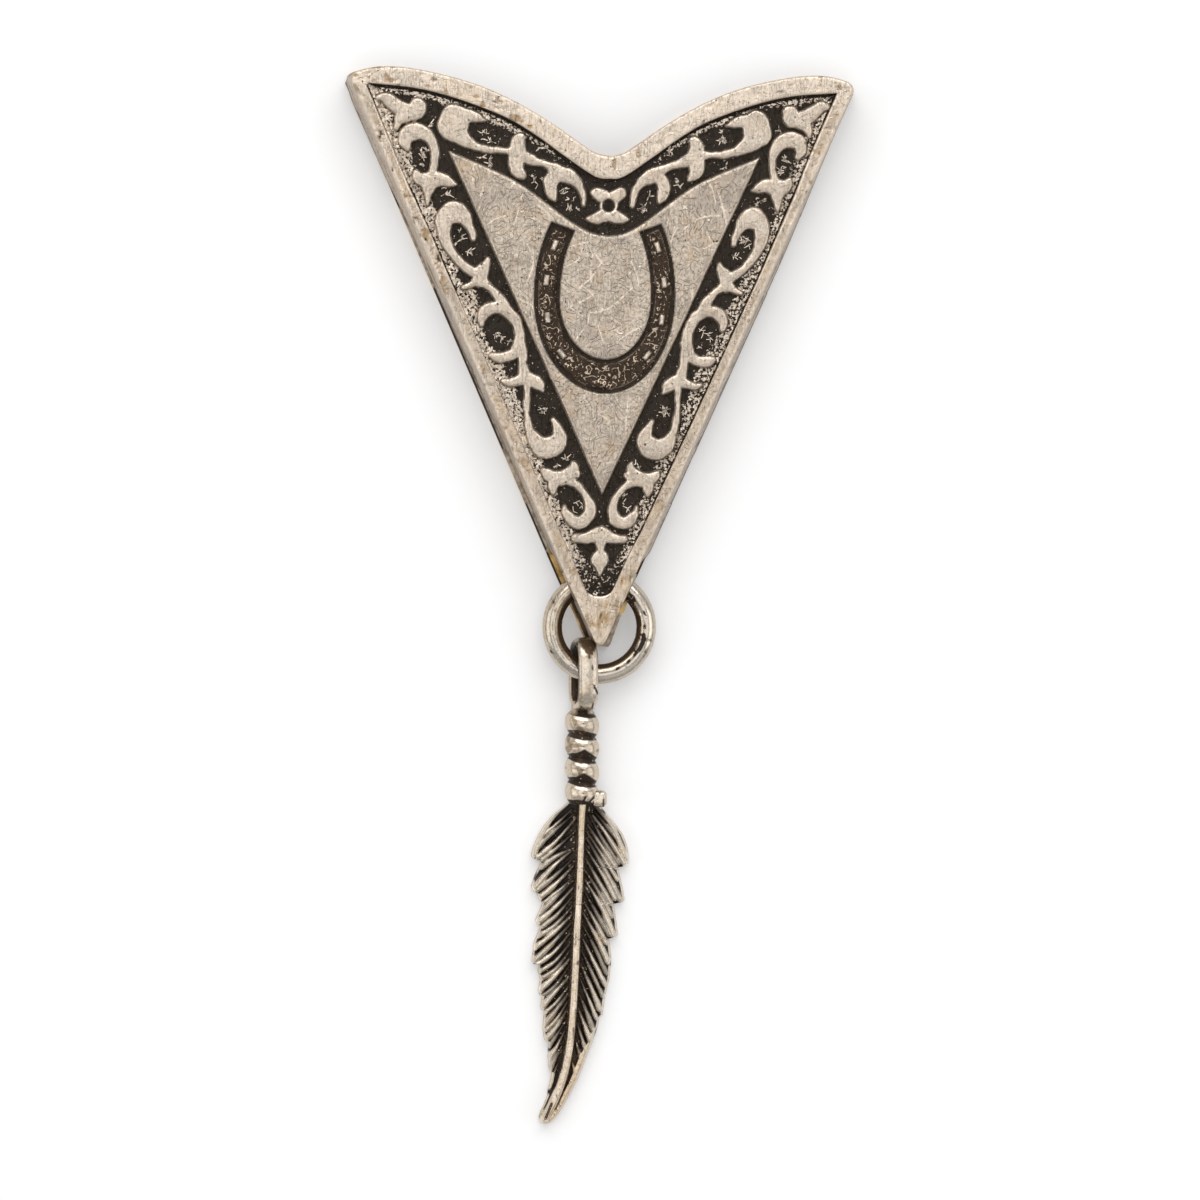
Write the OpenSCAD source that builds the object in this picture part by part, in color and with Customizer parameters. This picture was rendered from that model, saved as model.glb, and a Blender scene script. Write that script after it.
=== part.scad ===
// Collar tip: a hollow pointed casting with scrollwork over a brass back plate,
// with a jump ring through its point and a cast feather on the ring.
// It lies on its back. +X is right, +Y up the collar's edge, +Z out of the ornamented face.
// The origin is on the flat back, on the centre line, behind the middle of the horseshoe.

/* [Plate] */
// Width of the outer wing, from the centre line to its corner
outer_wing = 18.4; // [17.6:0.1:19.5]
// Width of the inner wing, the narrower of the two
inner_wing = 17.2; // [16.8:0.1:18.5]
// Thickness of the back plate
back_t = 0.5; // [0.3:0.05:0.6]
// Height of the pocket that the point of the collar slides into
pocket_h = 2.1; // [2.1:0.05:2.4]
// Thickness of the casting under the sunk ground
web_t = 0.55; // [0.4:0.05:0.8]
// Thickness of the casting's side walls
wall_t = 0.9; // [0.7:0.05:1.1]
// How far the side walls lean in, from the back plate to the rim
wall_lean = 0.4; // [0:0.05:0.5]
// Height of the slits between the side walls and the back plate
slit_h = 0.8; // [0.5:0.05:1.2]

/* [Relief] */
// Height of the scrollwork and the panel above the sunk ground
relief_h = 0.4; // [0.2:0.05:0.6]
// Height of the rim above the scrollwork
rim_rise = 0.1; // [0.05:0.05:0.3]
// Depth of the horseshoe's channel in the panel
channel_d = 0.35; // [0.15:0.05:0.35]
// Height of the horseshoe's web and nails above the channel's floor
web_rise = 0.12; // [0.05:0.01:0.2]
// Radius of the hole in the middle of the four-lobed flower
flower_hole_r = 0.43; // [0.3:0.01:0.5]
// Straight steps between two rows of a curve's table
curve_steps = 2; // [2:1:5]

/* [Ring] */
// Outer diameter of the jump ring
ring_d = 8.0; // [7.9:0.05:8.1]
// Wire diameter of the jump ring
ring_wire = 1.4; // [1.2:0.05:1.4]
// Room round the jump ring where it passes through the casting
ring_room = 0.15; // [0.1:0.01:0.2]

/* [Feather] */
// Lean of the hanging feather from the plate's centre line, in degrees
drop_lean = 1; // [-2:0.5:2]
// Width of the bail's strap
strap_w = 1.35; // [1.2:0.05:1.4]
// Thickness of the bail's strap
strap_t = 0.7; // [0.5:0.05:0.75]
// Turn of the bail about the feather's length, in degrees
bail_roll = 7; // [0:1:7]
// Radius of the cord wraps under the bail
wrap_r = 1.22; // [1.1:0.02:1.24]
// Slant of the cord wraps, in degrees
wrap_slant = 12; // [0:1:15]
// Thickness of the feather's vane
vane_t = 0.75; // [0.5:0.05:1]
// Height of the barbs above the vane
barb_h = 0.25; // [0.1:0.05:0.4]
// Height of the quill above the vane
quill_h = 0.55; // [0.3:0.05:0.7]

/* [Hidden] */
$fn = 48;

silver = "#bcb3a6";
brass = "#b08d4e";
drawn_wing = 17.8; // wing width that the tables below are drawn at
under_z = back_t + pocket_h; // underside of the casting over the pocket
ground_z = under_z + web_t;
relief_z = ground_z + relief_h;
rim_z = relief_z + rim_rise;
sunk = 0.1; // how deep raised work is rooted in what carries it
tip_y = -24;
corner_y = 14.9; // where a wing's corner turns into its straight side
tip_half = 0.55; // half width of the blunt point
side_slope = (drawn_wing - 0.05 - tip_half) / (corner_y - tip_y);

ring_mid = (ring_d - ring_wire) / 2;
ring_y = -22.8;
bail_mid = 1.25; // radius of the middle of the bail's strap in its end turns
bail_z = 1.7; // height of the bail's middle, and of the ring in it
bail_x = -1.18; // the bail and the cord hang a little to the left on the ring
cord_x = -1.15;
seam = 0.02; // hairline between the casting and the back plate

// Outline of the plate, left half, from the notch's middle to the straight side: x, y
notch_edge = [[0, 10.1], [-1.2, 10.4], [-3.6, 12.05], [-6, 13.5], [-8.5, 14.65], [-11, 15.4],
    [-13.5, 15.9], [-15.6, 15.97], [-17.2, 15.7], [-17.7, 15.35], [-17.75, corner_y]];
// Inner edge of the rim along the notch, left half: x, y
rim_notch = [[0, 8.47], [-1, 8.62], [-3, 9.95], [-5, 11.38], [-7, 12.55], [-10, 13.7],
    [-13, 14.45], [-16.25, 14.75]];
// Inner edge of the rim down the side and round its lower end, left half: x, y
rim_side = [[-16.25, 14.75], [-10.95, 2.2], [-1, -20]];
rim_end = [[-1, -20], [-0.8, -20.3], [-0.4, -20.52], [0, -20.58]];
// Upper edge of the arrowhead panel, left half: x, y
panel_top = [[0, 4.5], [-1.2, 4.72], [-2.6, 5.5], [-4, 6.55], [-6, 8], [-8, 9], [-10.8, 10.15]];
panel_tip = [0, -13.45];
// Stretches of the side walls that stop short of the back plate: upper y, lower y
slits = [[14.9, 6.2], [0.8, -10.6], [-14.1, -23.4]];

// Scrollwork of the left half, each stroke a row for each turn of its middle line: x, y, half width
fishtail = [
    [[-15.6, 13.8, 0.18], [-15.15, 13.78, 0.33], [-14.5, 13.3, 0.45], [-13.8, 12.9, 0.5]],
    [[-12.7, 13.4, 0.25], [-13, 13.3, 0.5], [-13.05, 12.85, 0.5], [-13.6, 12.8, 0.45]],
    [[-13.2, 12.85, 0.42], [-13.9, 12.6, 0.45], [-14.25, 12.2, 0.25], [-14.4, 11.7, 0.08]]];
upper_scroll = [
    [[-13.6, 10.3, 0.18], [-13.8, 10.7, 0.33], [-13.65, 11.25, 0.48], [-13.1, 11.5, 0.55],
        [-12.5, 11.35, 0.5], [-12.05, 10.9, 0.38], [-11.75, 10.2, 0.28], [-11.7, 9.5, 0.25],
        [-11.8, 8.9, 0.28], [-12, 8.4, 0.35]],
    [[-13.05, 8.45, 0.1], [-12.7, 8.15, 0.42], [-12, 8.15, 0.52], [-11.3, 8.2, 0.5],
        [-10.7, 8, 0.3], [-10.25, 7.85, 0.08]],
    [[-12.5, 7.8, 0.35], [-12.25, 7.2, 0.2], [-12.1, 6.85, 0.13], [-11.95, 6.55, 0.05]]];
middle_scroll = [
    [[-9.08, 4.1, 0.16], [-9.15, 4.5, 0.2], [-9.4, 5.05, 0.27], [-9.8, 5.65, 0.5],
        [-10.4, 5.95, 0.75], [-10.95, 5.6, 0.6], [-11.1, 5, 0.5], [-11.05, 4.4, 0.38],
        [-10.85, 3.75, 0.3], [-10.45, 3.1, 0.27], [-9.95, 2.5, 0.26], [-9.45, 2.1, 0.26],
        [-8.9, 1.75, 0.3]],
    [[-8.1, 2.7, 0.14], [-8.2, 2.35, 0.26], [-8.5, 1.9, 0.42], [-8.6, 1.4, 0.42],
        [-8.55, 1.05, 0.3]],
    [[-8.8, 1.2, 0.3], [-9.15, 0.95, 0.18], [-9.7, 0.7, 0.1]],
    [[-8.35, 1.1, 0.3], [-7.9, 0.8, 0.22], [-7.5, 0.4, 0.24], [-7.15, -0.1, 0.32],
        [-6.85, -0.6, 0.35]]];
lower_scroll = [
    [[-8.4, -1.8, 0.12], [-8.42, -1.35, 0.3], [-8.15, -0.85, 0.42], [-7.6, -0.6, 0.38],
        [-7, -0.65, 0.4], [-6.4, -1.15, 0.35], [-6, -1.8, 0.3], [-5.85, -2.5, 0.33],
        [-5.85, -3.2, 0.4], [-6.15, -3.75, 0.35], [-6.7, -4.05, 0.33], [-7.3, -4.1, 0.32],
        [-7.75, -3.95, 0.15]],
    [[-5.85, -3.3, 0.4], [-5.65, -3.9, 0.28], [-5.6, -4.5, 0.25], [-5.5, -5, 0.35],
        [-5.4, -5.45, 0.42]],
    [[-6.95, -5.72, 0.08], [-6.5, -5.82, 0.22], [-6, -5.72, 0.28], [-5.4, -5.5, 0.42],
        [-4.9, -5.6, 0.42], [-4.55, -5.85, 0.4], [-4.35, -6.15, 0.2], [-4.2, -6.35, 0.08]]];
hook = [
    [[-5.25, -5.9, 0.2], [-5.25, -6.6, 0.15], [-5.27, -7.6, 0.15], [-5.15, -8.5, 0.2],
        [-4.95, -9.2, 0.3], [-4.55, -9.9, 0.5], [-3.95, -10.3, 0.7], [-3.35, -10.15, 0.7],
        [-3, -9.65, 0.5], [-3.1, -9.05, 0.3], [-3.3, -8.6, 0.16], [-3.45, -8.35, 0.12]]];
end_scroll = [
    [[-4.05, -11.8, 0.06], [-3.8, -12.1, 0.3], [-3.3, -12.4, 0.45], [-2.75, -12.4, 0.48],
        [-2.3, -12.1, 0.42], [-1.98, -11.65, 0.28], [-2.05, -11.3, 0.1]],
    [[-2.3, -12.2, 0.4], [-1.85, -12.1, 0.27]],
    [[-3.3, -12.6, 0.4], [-3.3, -13.1, 0.25], [-3.3, -13.45, 0.08]],
    [[-2.8, -12.55, 0.3], [-2.3, -12.6, 0.25], [-1.75, -12.85, 0.2], [-1.2, -13.4, 0.22],
        [-0.85, -14.1, 0.28], [-0.8, -14.8, 0.36], [-1.2, -15.35, 0.42], [-1.75, -15.45, 0.4],
        [-2.2, -15.1, 0.33], [-2.45, -14.7, 0.18], [-2.5, -14.35, 0.08]]];
wing_scroll = [
    [[-10.5, 12.45, 0.95], [-10.6, 11.95, 1]],
    [[-8.4, 12.35, 0.06], [-8.9, 12.5, 0.25], [-9.5, 12.65, 0.4], [-10.3, 12.6, 0.7]],
    [[-10.4, 11.7, 0.8], [-9.8, 11.15, 0.5], [-9.2, 10.8, 0.32], [-8.5, 10.5, 0.24],
        [-7.8, 10.33, 0.22], [-7, 10.28, 0.25], [-6.5, 10.25, 0.4]],
    [[-5.75, 11.25, 0.08], [-6.1, 11.15, 0.33], [-6.25, 10.7, 0.5], [-6.2, 10.1, 0.55],
        [-6.3, 9.6, 0.52], [-6.25, 9.1, 0.45], [-6, 8.75, 0.3], [-5.8, 8.5, 0.1]],
    [[-5.9, 10, 0.4], [-5.4, 9.75, 0.32], [-4.9, 9.55, 0.22], [-4.2, 9.35, 0.24],
        [-3.6, 9.05, 0.42], [-3, 8.7, 0.5], [-2.45, 8.4, 0.38], [-2, 7.9, 0.25],
        [-1.75, 7.3, 0.18], [-1.68, 6.65, 0.12]],
    [[-3.5, 8.8, 0.45], [-3.85, 8.35, 0.45], [-3.97, 7.9, 0.42], [-3.85, 7.35, 0.32],
        [-3.65, 6.95, 0.1]]];
flower_lobes = [
    [[0, 7.05, 0.42], [-0.4, 7.35, 0.4], [-0.8, 7.6, 0.3]],
    [[0, 6.15, 0.47], [-0.55, 5.85, 0.4], [-1, 5.68, 0.26], [-1.35, 5.68, 0.08]]];
finial = [
    [[-1.68, -16.57, 0.27], [-1.1, -16.56, 0.3], [-0.5, -16.4, 0.42], [0, -16.25, 0.52]],
    [[0, -16.6, 0.3], [0, -17.1, 0.22], [0, -17.4, 0.17], [0, -17.75, 0.32], [0, -18.05, 0.62],
        [0, -18.45, 0.44], [0, -19.1, 0.05]]];
scrollwork = concat(fishtail, upper_scroll, middle_scroll, lower_scroll, hook, end_scroll,
    wing_scroll, flower_lobes, finial);
flower_y = 6.63;
flower_r = 0.56;

// Horseshoe: centre height, half width, rise above and drop below the centre of each edge
shoe_outer = [0.3, 4.92, 8.1, 6.75];
shoe_inner = [0.2, 3.2, 6.54, 4.3];
shoe_heel = [39, 45]; // angle of the heels on the outer and the inner edge
shoe_steps = 32;
web_gap = 0.35; // floor left bare between the channel's edges and the web
nails = [[-3.65, 3.75, -20], [-4.12, 1.3, -8], [-4, -1.2, 12], [-3, -3.75, 38]]; // x, y, turn
nail_size = [0.22, 0.72];

// Quill: x, y, half width
quill = [[-1.1, -35.3, 0.28], [-1.2, -38, 0.27], [-1.3, -41, 0.3], [-1.42, -44, 0.3],
    [-1.58, -47, 0.3], [-1.75, -50, 0.3], [-2, -52.5, 0.28], [-2.45, -54.6, 0.27],
    [-3.1, -56.3, 0.3], [-3.72, -57.5, 0.38]];
// Edge of the vane, from its upper left corner down round the tip and up the right side: x, y
vane_edge = [[-2.3, -35.4], [-3.2, -36.1], [-3.8, -36.8], [-4.25, -37.6], [-4.55, -38.3],
    [-4.7, -38.9], [-4.6, -39.15], [-4.3, -39.2], [-4.05, -39.5], [-4.45, -40.4], [-4.7, -41.1],
    [-4.5, -41.5], [-4.3, -41.6], [-4.15, -42.05], [-3.9, -42.3], [-4.4, -43.5], [-4.2, -43.85],
    [-4.05, -43.95], [-4.5, -45.1], [-4.65, -46.4], [-4.45, -46.6], [-4.15, -46.65], [-4.2, -47.1],
    [-4.05, -47.7], [-4.2, -48.5], [-4.05, -48.8], [-3.88, -48.85], [-4.05, -49.6],
    [-3.9, -49.85], [-3.75, -49.9], [-3.87, -51], [-3.75, -51.95], [-3.45, -52.1], [-3.5, -53.2],
    [-3.4, -54.15], [-3.2, -54.25], [-3.45, -55.3], [-3.52, -55.9], [-3.75, -56.5], [-4, -57],
    [-4.12, -57.4], [-4, -57.75], [-3.7, -57.9], [-3.35, -57.75], [-2.9, -57.2], [-2.5, -56.5],
    [-2, -55.6], [-1.55, -54.8], [-1.2, -54], [-0.85, -53], [-0.5, -52.2], [-0.1, -50.8],
    [0, -50.3], [0.2, -50.1], [0.4, -49], [0.65, -47.7], [0.85, -46.2], [0.75, -45.2],
    [0.72, -44.78], [1.15, -44.7], [1.3, -44.5], [1.2, -43.6], [1, -42.25], [1.6, -42.15],
    [1.72, -42], [1.65, -41.2], [1.35, -39.72], [1.85, -39.68], [2.05, -39.5], [2.05, -38.9],
    [1.95, -38.2], [1.7, -37.5], [1.3, -36.9], [0.8, -36.3], [0.2, -35.6], [-0.2, -35.4]];
// Barbs of the left side, then of the right: start x, y, bend x, y, tip x, y, half width
barbs = [
    [-2.4, -35.6, -3.55, -36.7, -4.5, -38.85, 0.2], [-2.1, -35.95, -3.1, -36.85, -4, -37.6, 0.1],
    [-2, -36.3, -3.2, -37.3, -4.3, -38.4, 0.12], [-1.8, -36.6, -3, -37.95, -4.2, -39, 0.13],
    [-2, -37.6, -3, -38.45, -3.9, -39.2, 0.11], [-1.9, -38.5, -2.9, -38.95, -3.95, -39.75, 0.12],
    [-2.2, -38.9, -3.2, -39.75, -4.5, -41.25, 0.15], [-2.1, -39.5, -3.1, -40.4, -4.2, -41.3, 0.12],
    [-2, -39.95, -3, -40.95, -4.1, -41.9, 0.17], [-2, -40.7, -2.7, -41.35, -3.7, -42.15, 0.1],
    [-2.1, -41.05, -3.2, -42.1, -4.05, -42.9, 0.13], [-2, -41.5, -3.1, -42.65, -4.2, -43.6, 0.15],
    [-2, -42.1, -2.9, -43.1, -3.85, -43.9, 0.12], [-2, -42.75, -3, -43.8, -4.15, -44.6, 0.12],
    [-2, -43.3, -3.1, -44.35, -4.4, -45.4, 0.15], [-2.1, -43.95, -3.2, -45.1, -4.45, -46.3, 0.15],
    [-2.2, -44.7, -3.1, -45.75, -4.2, -46.55, 0.12], [-2.1, -45.3, -3, -46.35, -4.1, -47.1, 0.11],
    [-2.2, -45.95, -3, -46.95, -4, -47.6, 0.12], [-2.2, -46.5, -3.1, -47.5, -4.05, -48.4, 0.15],
    [-2.25, -47.1, -3, -48.1, -3.85, -48.8, 0.1], [-2.15, -47.65, -3.1, -48.65, -3.9, -49.6, 0.15],
    [-2.15, -48.3, -2.9, -49.25, -3.65, -49.95, 0.1], [-2.15, -48.8, -3, -49.9, -3.75, -50.8, 0.14],
    [-2.2, -49.4, -2.9, -50.45, -3.6, -51.2, 0.1], [-2.25, -50, -2.95, -51.05, -3.65, -51.9, 0.15],
    [-2.35, -50.8, -3, -51.75, -3.4, -52.4, 0.1], [-2.45, -51.6, -2.95, -52.5, -3.4, -53.2, 0.12],
    [-2.65, -52.6, -3.1, -53.4, -3.35, -54, 0.13], [-2.85, -53.8, -3.15, -54.5, -3.35, -55.2, 0.1],
    [0.05, -35.75, 1, -36.85, 1.92, -39, 0.17], [0, -36.1, 0.75, -37, 1.5, -37.95, 0.1],
    [-0.1, -36.45, 0.8, -37.7, 1.9, -39.5, 0.15], [-0.4, -36.4, 0.3, -37.7, 1.45, -39.45, 0.1],
    [-0.5, -37.1, 0.3, -38.3, 1.25, -39.75, 0.12], [-0.45, -37.75, 0.6, -39.35, 1.35, -40.6, 0.11],
    [-0.5, -38.2, 0.5, -39.9, 1.55, -42, 0.15], [-0.6, -38.8, 0.3, -40.2, 1.2, -41.95, 0.11],
    [-0.7, -39.4, 0.1, -40.8, 0.95, -42.3, 0.12], [-0.75, -40.2, 0.2, -41.7, 0.95, -43.2, 0.12],
    [-0.7, -40.95, 0.3, -42.6, 1.1, -44.55, 0.15], [-0.75, -41.75, 0.05, -43.2, 0.8, -44.5, 0.11],
    [-0.8, -42.5, -0.1, -43.7, 0.6, -45.1, 0.12], [-0.85, -43.3, 0, -44.8, 0.7, -46.4, 0.14],
    [-0.9, -44.1, -0.15, -45.5, 0.6, -47.2, 0.11], [-0.95, -45, -0.25, -46.4, 0.5, -48, 0.13],
    [-1, -45.9, -0.4, -47.15, 0.35, -48.8, 0.11], [-1.1, -46.8, -0.45, -48.2, 0.15, -49.75, 0.13],
    [-1.15, -47.8, -0.55, -49.2, -0.1, -50.4, 0.1], [-1.25, -48.8, -0.75, -50, -0.3, -51.2, 0.12],
    [-1.35, -49.7, -0.9, -50.9, -0.5, -52, 0.12], [-1.45, -50.7, -1.1, -51.8, -0.8, -52.8, 0.1],
    [-1.6, -51.8, -1.3, -52.8, -1.15, -53.7, 0.1], [-1.9, -53.2, -1.65, -54, -1.6, -54.7, 0.1]];
wrap_z = wrap_r + 0.03;
shank_r = 0.92; // the shaft under the wraps
shank_ends = [-28.2, -35.6];
knot_r = 0.5;
knot_at = [0.05, -34.8, 1.65]; // at the right of the last wrap
wrap_ys = [-29.65, -31.25, -32.9, -34.5];
bail_ends = [-25.2, -26.9]; // where the bail's straight legs begin and end

// Point of a smooth curve between b and c, whose neighbours are a and d
function between(a, b, c, d, t) = 0.5 * (2 * b + (c - a) * t + (2 * a - 5 * b + 4 * c - d) * t * t
    + (3 * b - a - 3 * c + d) * t * t * t);
// Smooth curve through the rows of a table
function curve(rows) = let(last = len(rows) - 1) [
    for (i = [0:last - 1], j = [0:curve_steps - 1])
        between(rows[max(i - 1, 0)], rows[i], rows[i + 1], rows[min(i + 2, last)], j / curve_steps),
    rows[last]];
// A point of the drawing, set to the real width of its wing
function on_wing(p) = [p[0] * (p[0] < 0 ? outer_wing : inner_wing) / drawn_wing, p[1]];
function mirrored(half) = [for (i = [len(half) - 1:-1:0]) [-half[i][0], half[i][1]]];
// Whole outline from its left half, which runs from the middle above to the middle below
function whole(half) = [for (p = concat(half, mirrored(half))) on_wing(p)];
// Point of a horseshoe's edge at an angle from straight up, positive to the left
function shoe_point(edge, angle) = [-edge[1] * sin(angle),
    edge[0] + (cos(angle) > 0 ? edge[2] : edge[3]) * cos(angle)];
function shoe_edge(edge, heel, steps) = [for (i = [0:steps])
    shoe_point(edge, heel + (360 - 2 * heel) * i / steps)];
function backwards(list) = [for (i = [len(list) - 1:-1:0]) list[i]];
// Horseshoe between its two edges, grown or shrunk all round
function shoe_band(grow) = concat(
    shoe_edge(shoe_outer + [0, grow, grow, grow], shoe_heel[0] - 4 * grow, shoe_steps),
    backwards(shoe_edge(shoe_inner - [0, grow, grow, grow], shoe_heel[1] - 4 * grow, shoe_steps)));
// x of the casting's left side at a height y, moved in by a distance
function side_x(y, inset) = -(tip_half + (y - tip_y) * side_slope) + inset * norm([1, side_slope]);
// Section of a flat strap with rounded edges: width, thickness, number of points
function oval(w, t, n) = [for (i = [0:n - 1]) [w / 2 * sign(cos(i * 360 / n))
    * pow(abs(cos(i * 360 / n)), 0.7), t / 2 * sign(sin(i * 360 / n))
    * pow(abs(sin(i * 360 / n)), 0.7)]];

// Flat band along a curve, as wide as its rows say, with round ends
module stroke(rows) {
    mid = curve(rows);
    last = len(mid) - 1;
    ways = [for (i = [0:last]) let(d = mid[min(i + 1, last)] - mid[max(i - 1, 0)])
        [-d[1], d[0]] / norm([d[0], d[1]])];
    one = [for (i = [0:last]) [mid[i][0], mid[i][1]] + ways[i] * mid[i][2]];
    other = [for (i = [0:last]) [mid[i][0], mid[i][1]] - ways[i] * mid[i][2]];
    for (i = [0:last - 1]) polygon([one[i], one[i + 1], other[i + 1], other[i]]);
    for (row = [mid[0], mid[last]]) translate([row[0], row[1]]) circle(row[2], $fn = 10);
}

module both_wings() {
    scale([outer_wing / drawn_wing, 1]) children();
    mirror([1, 0]) scale([inner_wing / drawn_wing, 1]) children();
}

module scroll_relief() {
    linear_extrude(relief_h + sunk) offset(delta = 0.01) {
        both_wings() for (rows = scrollwork) stroke(rows);
        translate([0, flower_y]) circle(flower_r, $fn = 24);
    }
}

module panel_outline() polygon(whole(concat(curve(panel_top), [panel_tip])));

module horseshoe(grow) polygon([for (p = shoe_band(grow)) on_wing(p)]);

module plate_outline() polygon(whole(concat(curve(notch_edge),
    [[-tip_half, tip_y + 0.3], [-tip_half / 2, tip_y + 0.02]])));

module rim_outline() polygon(whole(concat(curve(rim_notch), [rim_side[1]], curve(rim_end))));

// Room under the casting for the point of the collar, open at the notch
module pocket_outline() polygon(whole([[0, 20], [side_x(20, wall_t), 20],
    [side_x(-17.5, wall_t), -17.5]]));

// Piece that takes the lean off the left side wall, in the drawing's width
module lean_cut(wing) {
    low = on_wing([wing * side_x(corner_y + 3, 0), corner_y + 3]);
    end = on_wing([wing * side_x(tip_y - 3, 0), tip_y - 3]);
    run = norm(low - end);
    heading = atan2(end[1] - low[1], end[0] - low[0]);
    tilt = wing * atan2(wall_lean, rim_z - back_t);
    translate([low[0], low[1], back_t]) rotate([0, 0, heading]) rotate([tilt, 0, 0])
        translate([0, wing > 0 ? -5 : 0, -1]) cube([run, 5, 8]);
}

// Gap under a side wall, between two heights
module slit(wing, ends, depth) {
    outer = [for (y = ends) on_wing([wing * (side_x(y, 0) - 1), y])];
    inner = [for (y = ends) on_wing([wing * side_x(y, depth), y])];
    translate([0, 0, back_t - 0.2]) linear_extrude(slit_h + 0.2)
        polygon([outer[0], outer[1], inner[1], inner[0]]);
}

// Annular room for the jump ring, round the blunt point that stays solid
module ring_way() {
    translate([0, ring_y, back_t - 0.2]) linear_extrude(pocket_h + 0.2) difference() {
        circle(ring_d / 2 + ring_room);
        circle(ring_d / 2 - ring_wire - ring_room);
    }
}

// Hollow casting with its ornament
module front_plate() {
    color(silver) {
        difference() {
            translate([0, 0, back_t + seam]) linear_extrude(rim_z - back_t - seam) plate_outline();
            lean_cut(1);
            lean_cut(-1);
            translate([0, 0, back_t - 0.2]) linear_extrude(pocket_h + 0.2) pocket_outline();
            for (wing = [1, -1], ends = slits)
                slit(wing, ends, ends[1] < ring_y ? wall_t / 2 : wall_t + 0.2);
            ring_way();
            translate([0, 0, ground_z]) linear_extrude(5) rim_outline();
        }
        difference() {
            translate([0, 0, ground_z - sunk]) scroll_relief();
            translate([0, flower_y, ground_z - sunk - 0.5]) cylinder(h = 3, r = flower_hole_r);
        }
        difference() {
            translate([0, 0, ground_z - sunk]) linear_extrude(relief_h + sunk) panel_outline();
            translate([0, 0, relief_z - channel_d]) linear_extrude(3) horseshoe(0);
        }
        translate([0, 0, ground_z - sunk])
            linear_extrude(relief_h + sunk - channel_d + web_rise) horseshoe(-web_gap);
        both_nails();
    }
}

// Short bars that stand for the horseshoe's nail holes
module both_nails() {
    for (wing = [1, -1], nail = nails)
        translate(concat(on_wing([wing * nail[0], nail[1]]), [relief_z - channel_d]))
            rotate([0, 0, wing * nail[2]])
                translate([-nail_size[0] / 2, -nail_size[1] / 2, -sunk])
                    cube([nail_size[0], nail_size[1], sunk + web_rise + 0.1]);
}

// Sheet with the same notch as the casting, showing past its sides near the point,
// with tabs bent up inside the slits above and below the ring
module back_plate() {
    left_edge = [[-17.85, corner_y], [-2.85, -19.5], [-1.6, -22.1], [-0.95, -23.7], [-0.35, -23.95]];
    right_edge = [[0.3, -24.22], [0.75, -24.22], [0.9, -24.05], [1.7, -21.85], [1.85, -21.8],
        [2.6, -19.5], [17.8, corner_y]];
    upper = mirrored(curve(notch_edge));
    outline = concat([for (p = curve(notch_edge)) on_wing(p)], [for (p = left_edge) on_wing(p)],
        [for (p = right_edge) on_wing(p)], [for (p = upper) on_wing(p)]);
    color(brass) {
        linear_extrude(back_t) polygon(outline);
        for (wing = [1, -1]) tab(wing, -17.8, -19.3);
        tab(1, -21.9, -23.2);
    }
}

module tab(wing, top, bottom) {
    edge = [for (y = [top, bottom]) on_wing([wing * (side_x(y, 0) - 0.05), y])];
    inner = [for (y = [top, bottom]) on_wing([wing * side_x(y, 0.32), y])];
    translate([0, 0, back_t - sunk]) linear_extrude(slit_h * 0.8 + sunk)
        polygon([edge[0], edge[1], inner[1], inner[0]]);
}

// Plain wire ring, lying flat through the point
module jump_ring() {
    color(silver) translate([0, ring_y, bail_z]) rotate_extrude()
        translate([ring_mid, 0]) circle(ring_wire / 2);
}

// Long loop that stands on edge, its two turns half circles
module bail() {
    translate([bail_x, 0, bail_z]) rotate([0, bail_roll, 0]) {
        for (turn = [0, 1]) translate([0, bail_ends[turn], 0]) rotate([0, 90, 0])
            rotate([0, 0, 180 * turn]) rotate_extrude(angle = 180)
                translate([bail_mid, 0]) polygon(oval(strap_t, strap_w, 20));
        for (side = [-1, 1]) translate([0, bail_ends[0], side * bail_mid]) rotate([90, 0, 0])
            linear_extrude(bail_ends[0] - bail_ends[1]) polygon(oval(strap_w, strap_t, 20));
    }
}

// Four turns of cord round the shaft, with a knot at the right
module wraps() {
    for (y = wrap_ys) translate([cord_x, y, wrap_z]) rotate([0, 0, -wrap_slant])
        rotate([90, 0, 0]) rotate_extrude() translate([wrap_r / 2 + 0.01, 0]) circle(wrap_r / 2);
    translate([cord_x, shank_ends[0], wrap_z]) rotate([90, 0, 0])
        cylinder(h = shank_ends[0] - shank_ends[1], r = shank_r);
    translate([cord_x, knot_at[1], knot_at[2]]) rotate([0, 90, 0])
        cylinder(h = knot_at[0] - cord_x, r = knot_r);
    translate(knot_at) sphere(r = knot_r);
}

// Flat leaf with a sawn edge, its raised barbs and, higher, its quill
module vane() {
    linear_extrude(vane_t) polygon(vane_edge);
    translate([0, 0, vane_t - sunk]) linear_extrude(barb_h + sunk) offset(delta = 0.01)
        for (b = barbs) stroke([[b[0], b[1], b[6] * 0.6], [b[2], b[3], b[6]],
            [b[4], b[5], b[6] * 0.7]]);
    translate([0, 0, vane_t - sunk]) linear_extrude(quill_h + sunk) offset(delta = 0.01)
        stroke(quill);
}

module feather_drop() {
    color(silver) translate([0, tip_y, 0]) rotate([0, 0, drop_lean]) translate([0, -tip_y, 0]) {
        bail();
        wraps();
        vane();
    }
}

front_plate();
back_plate();
jump_ring();
feather_drop();
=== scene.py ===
import bpy
import bmesh
import numpy as np
from mathutils import Matrix, Vector


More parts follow.
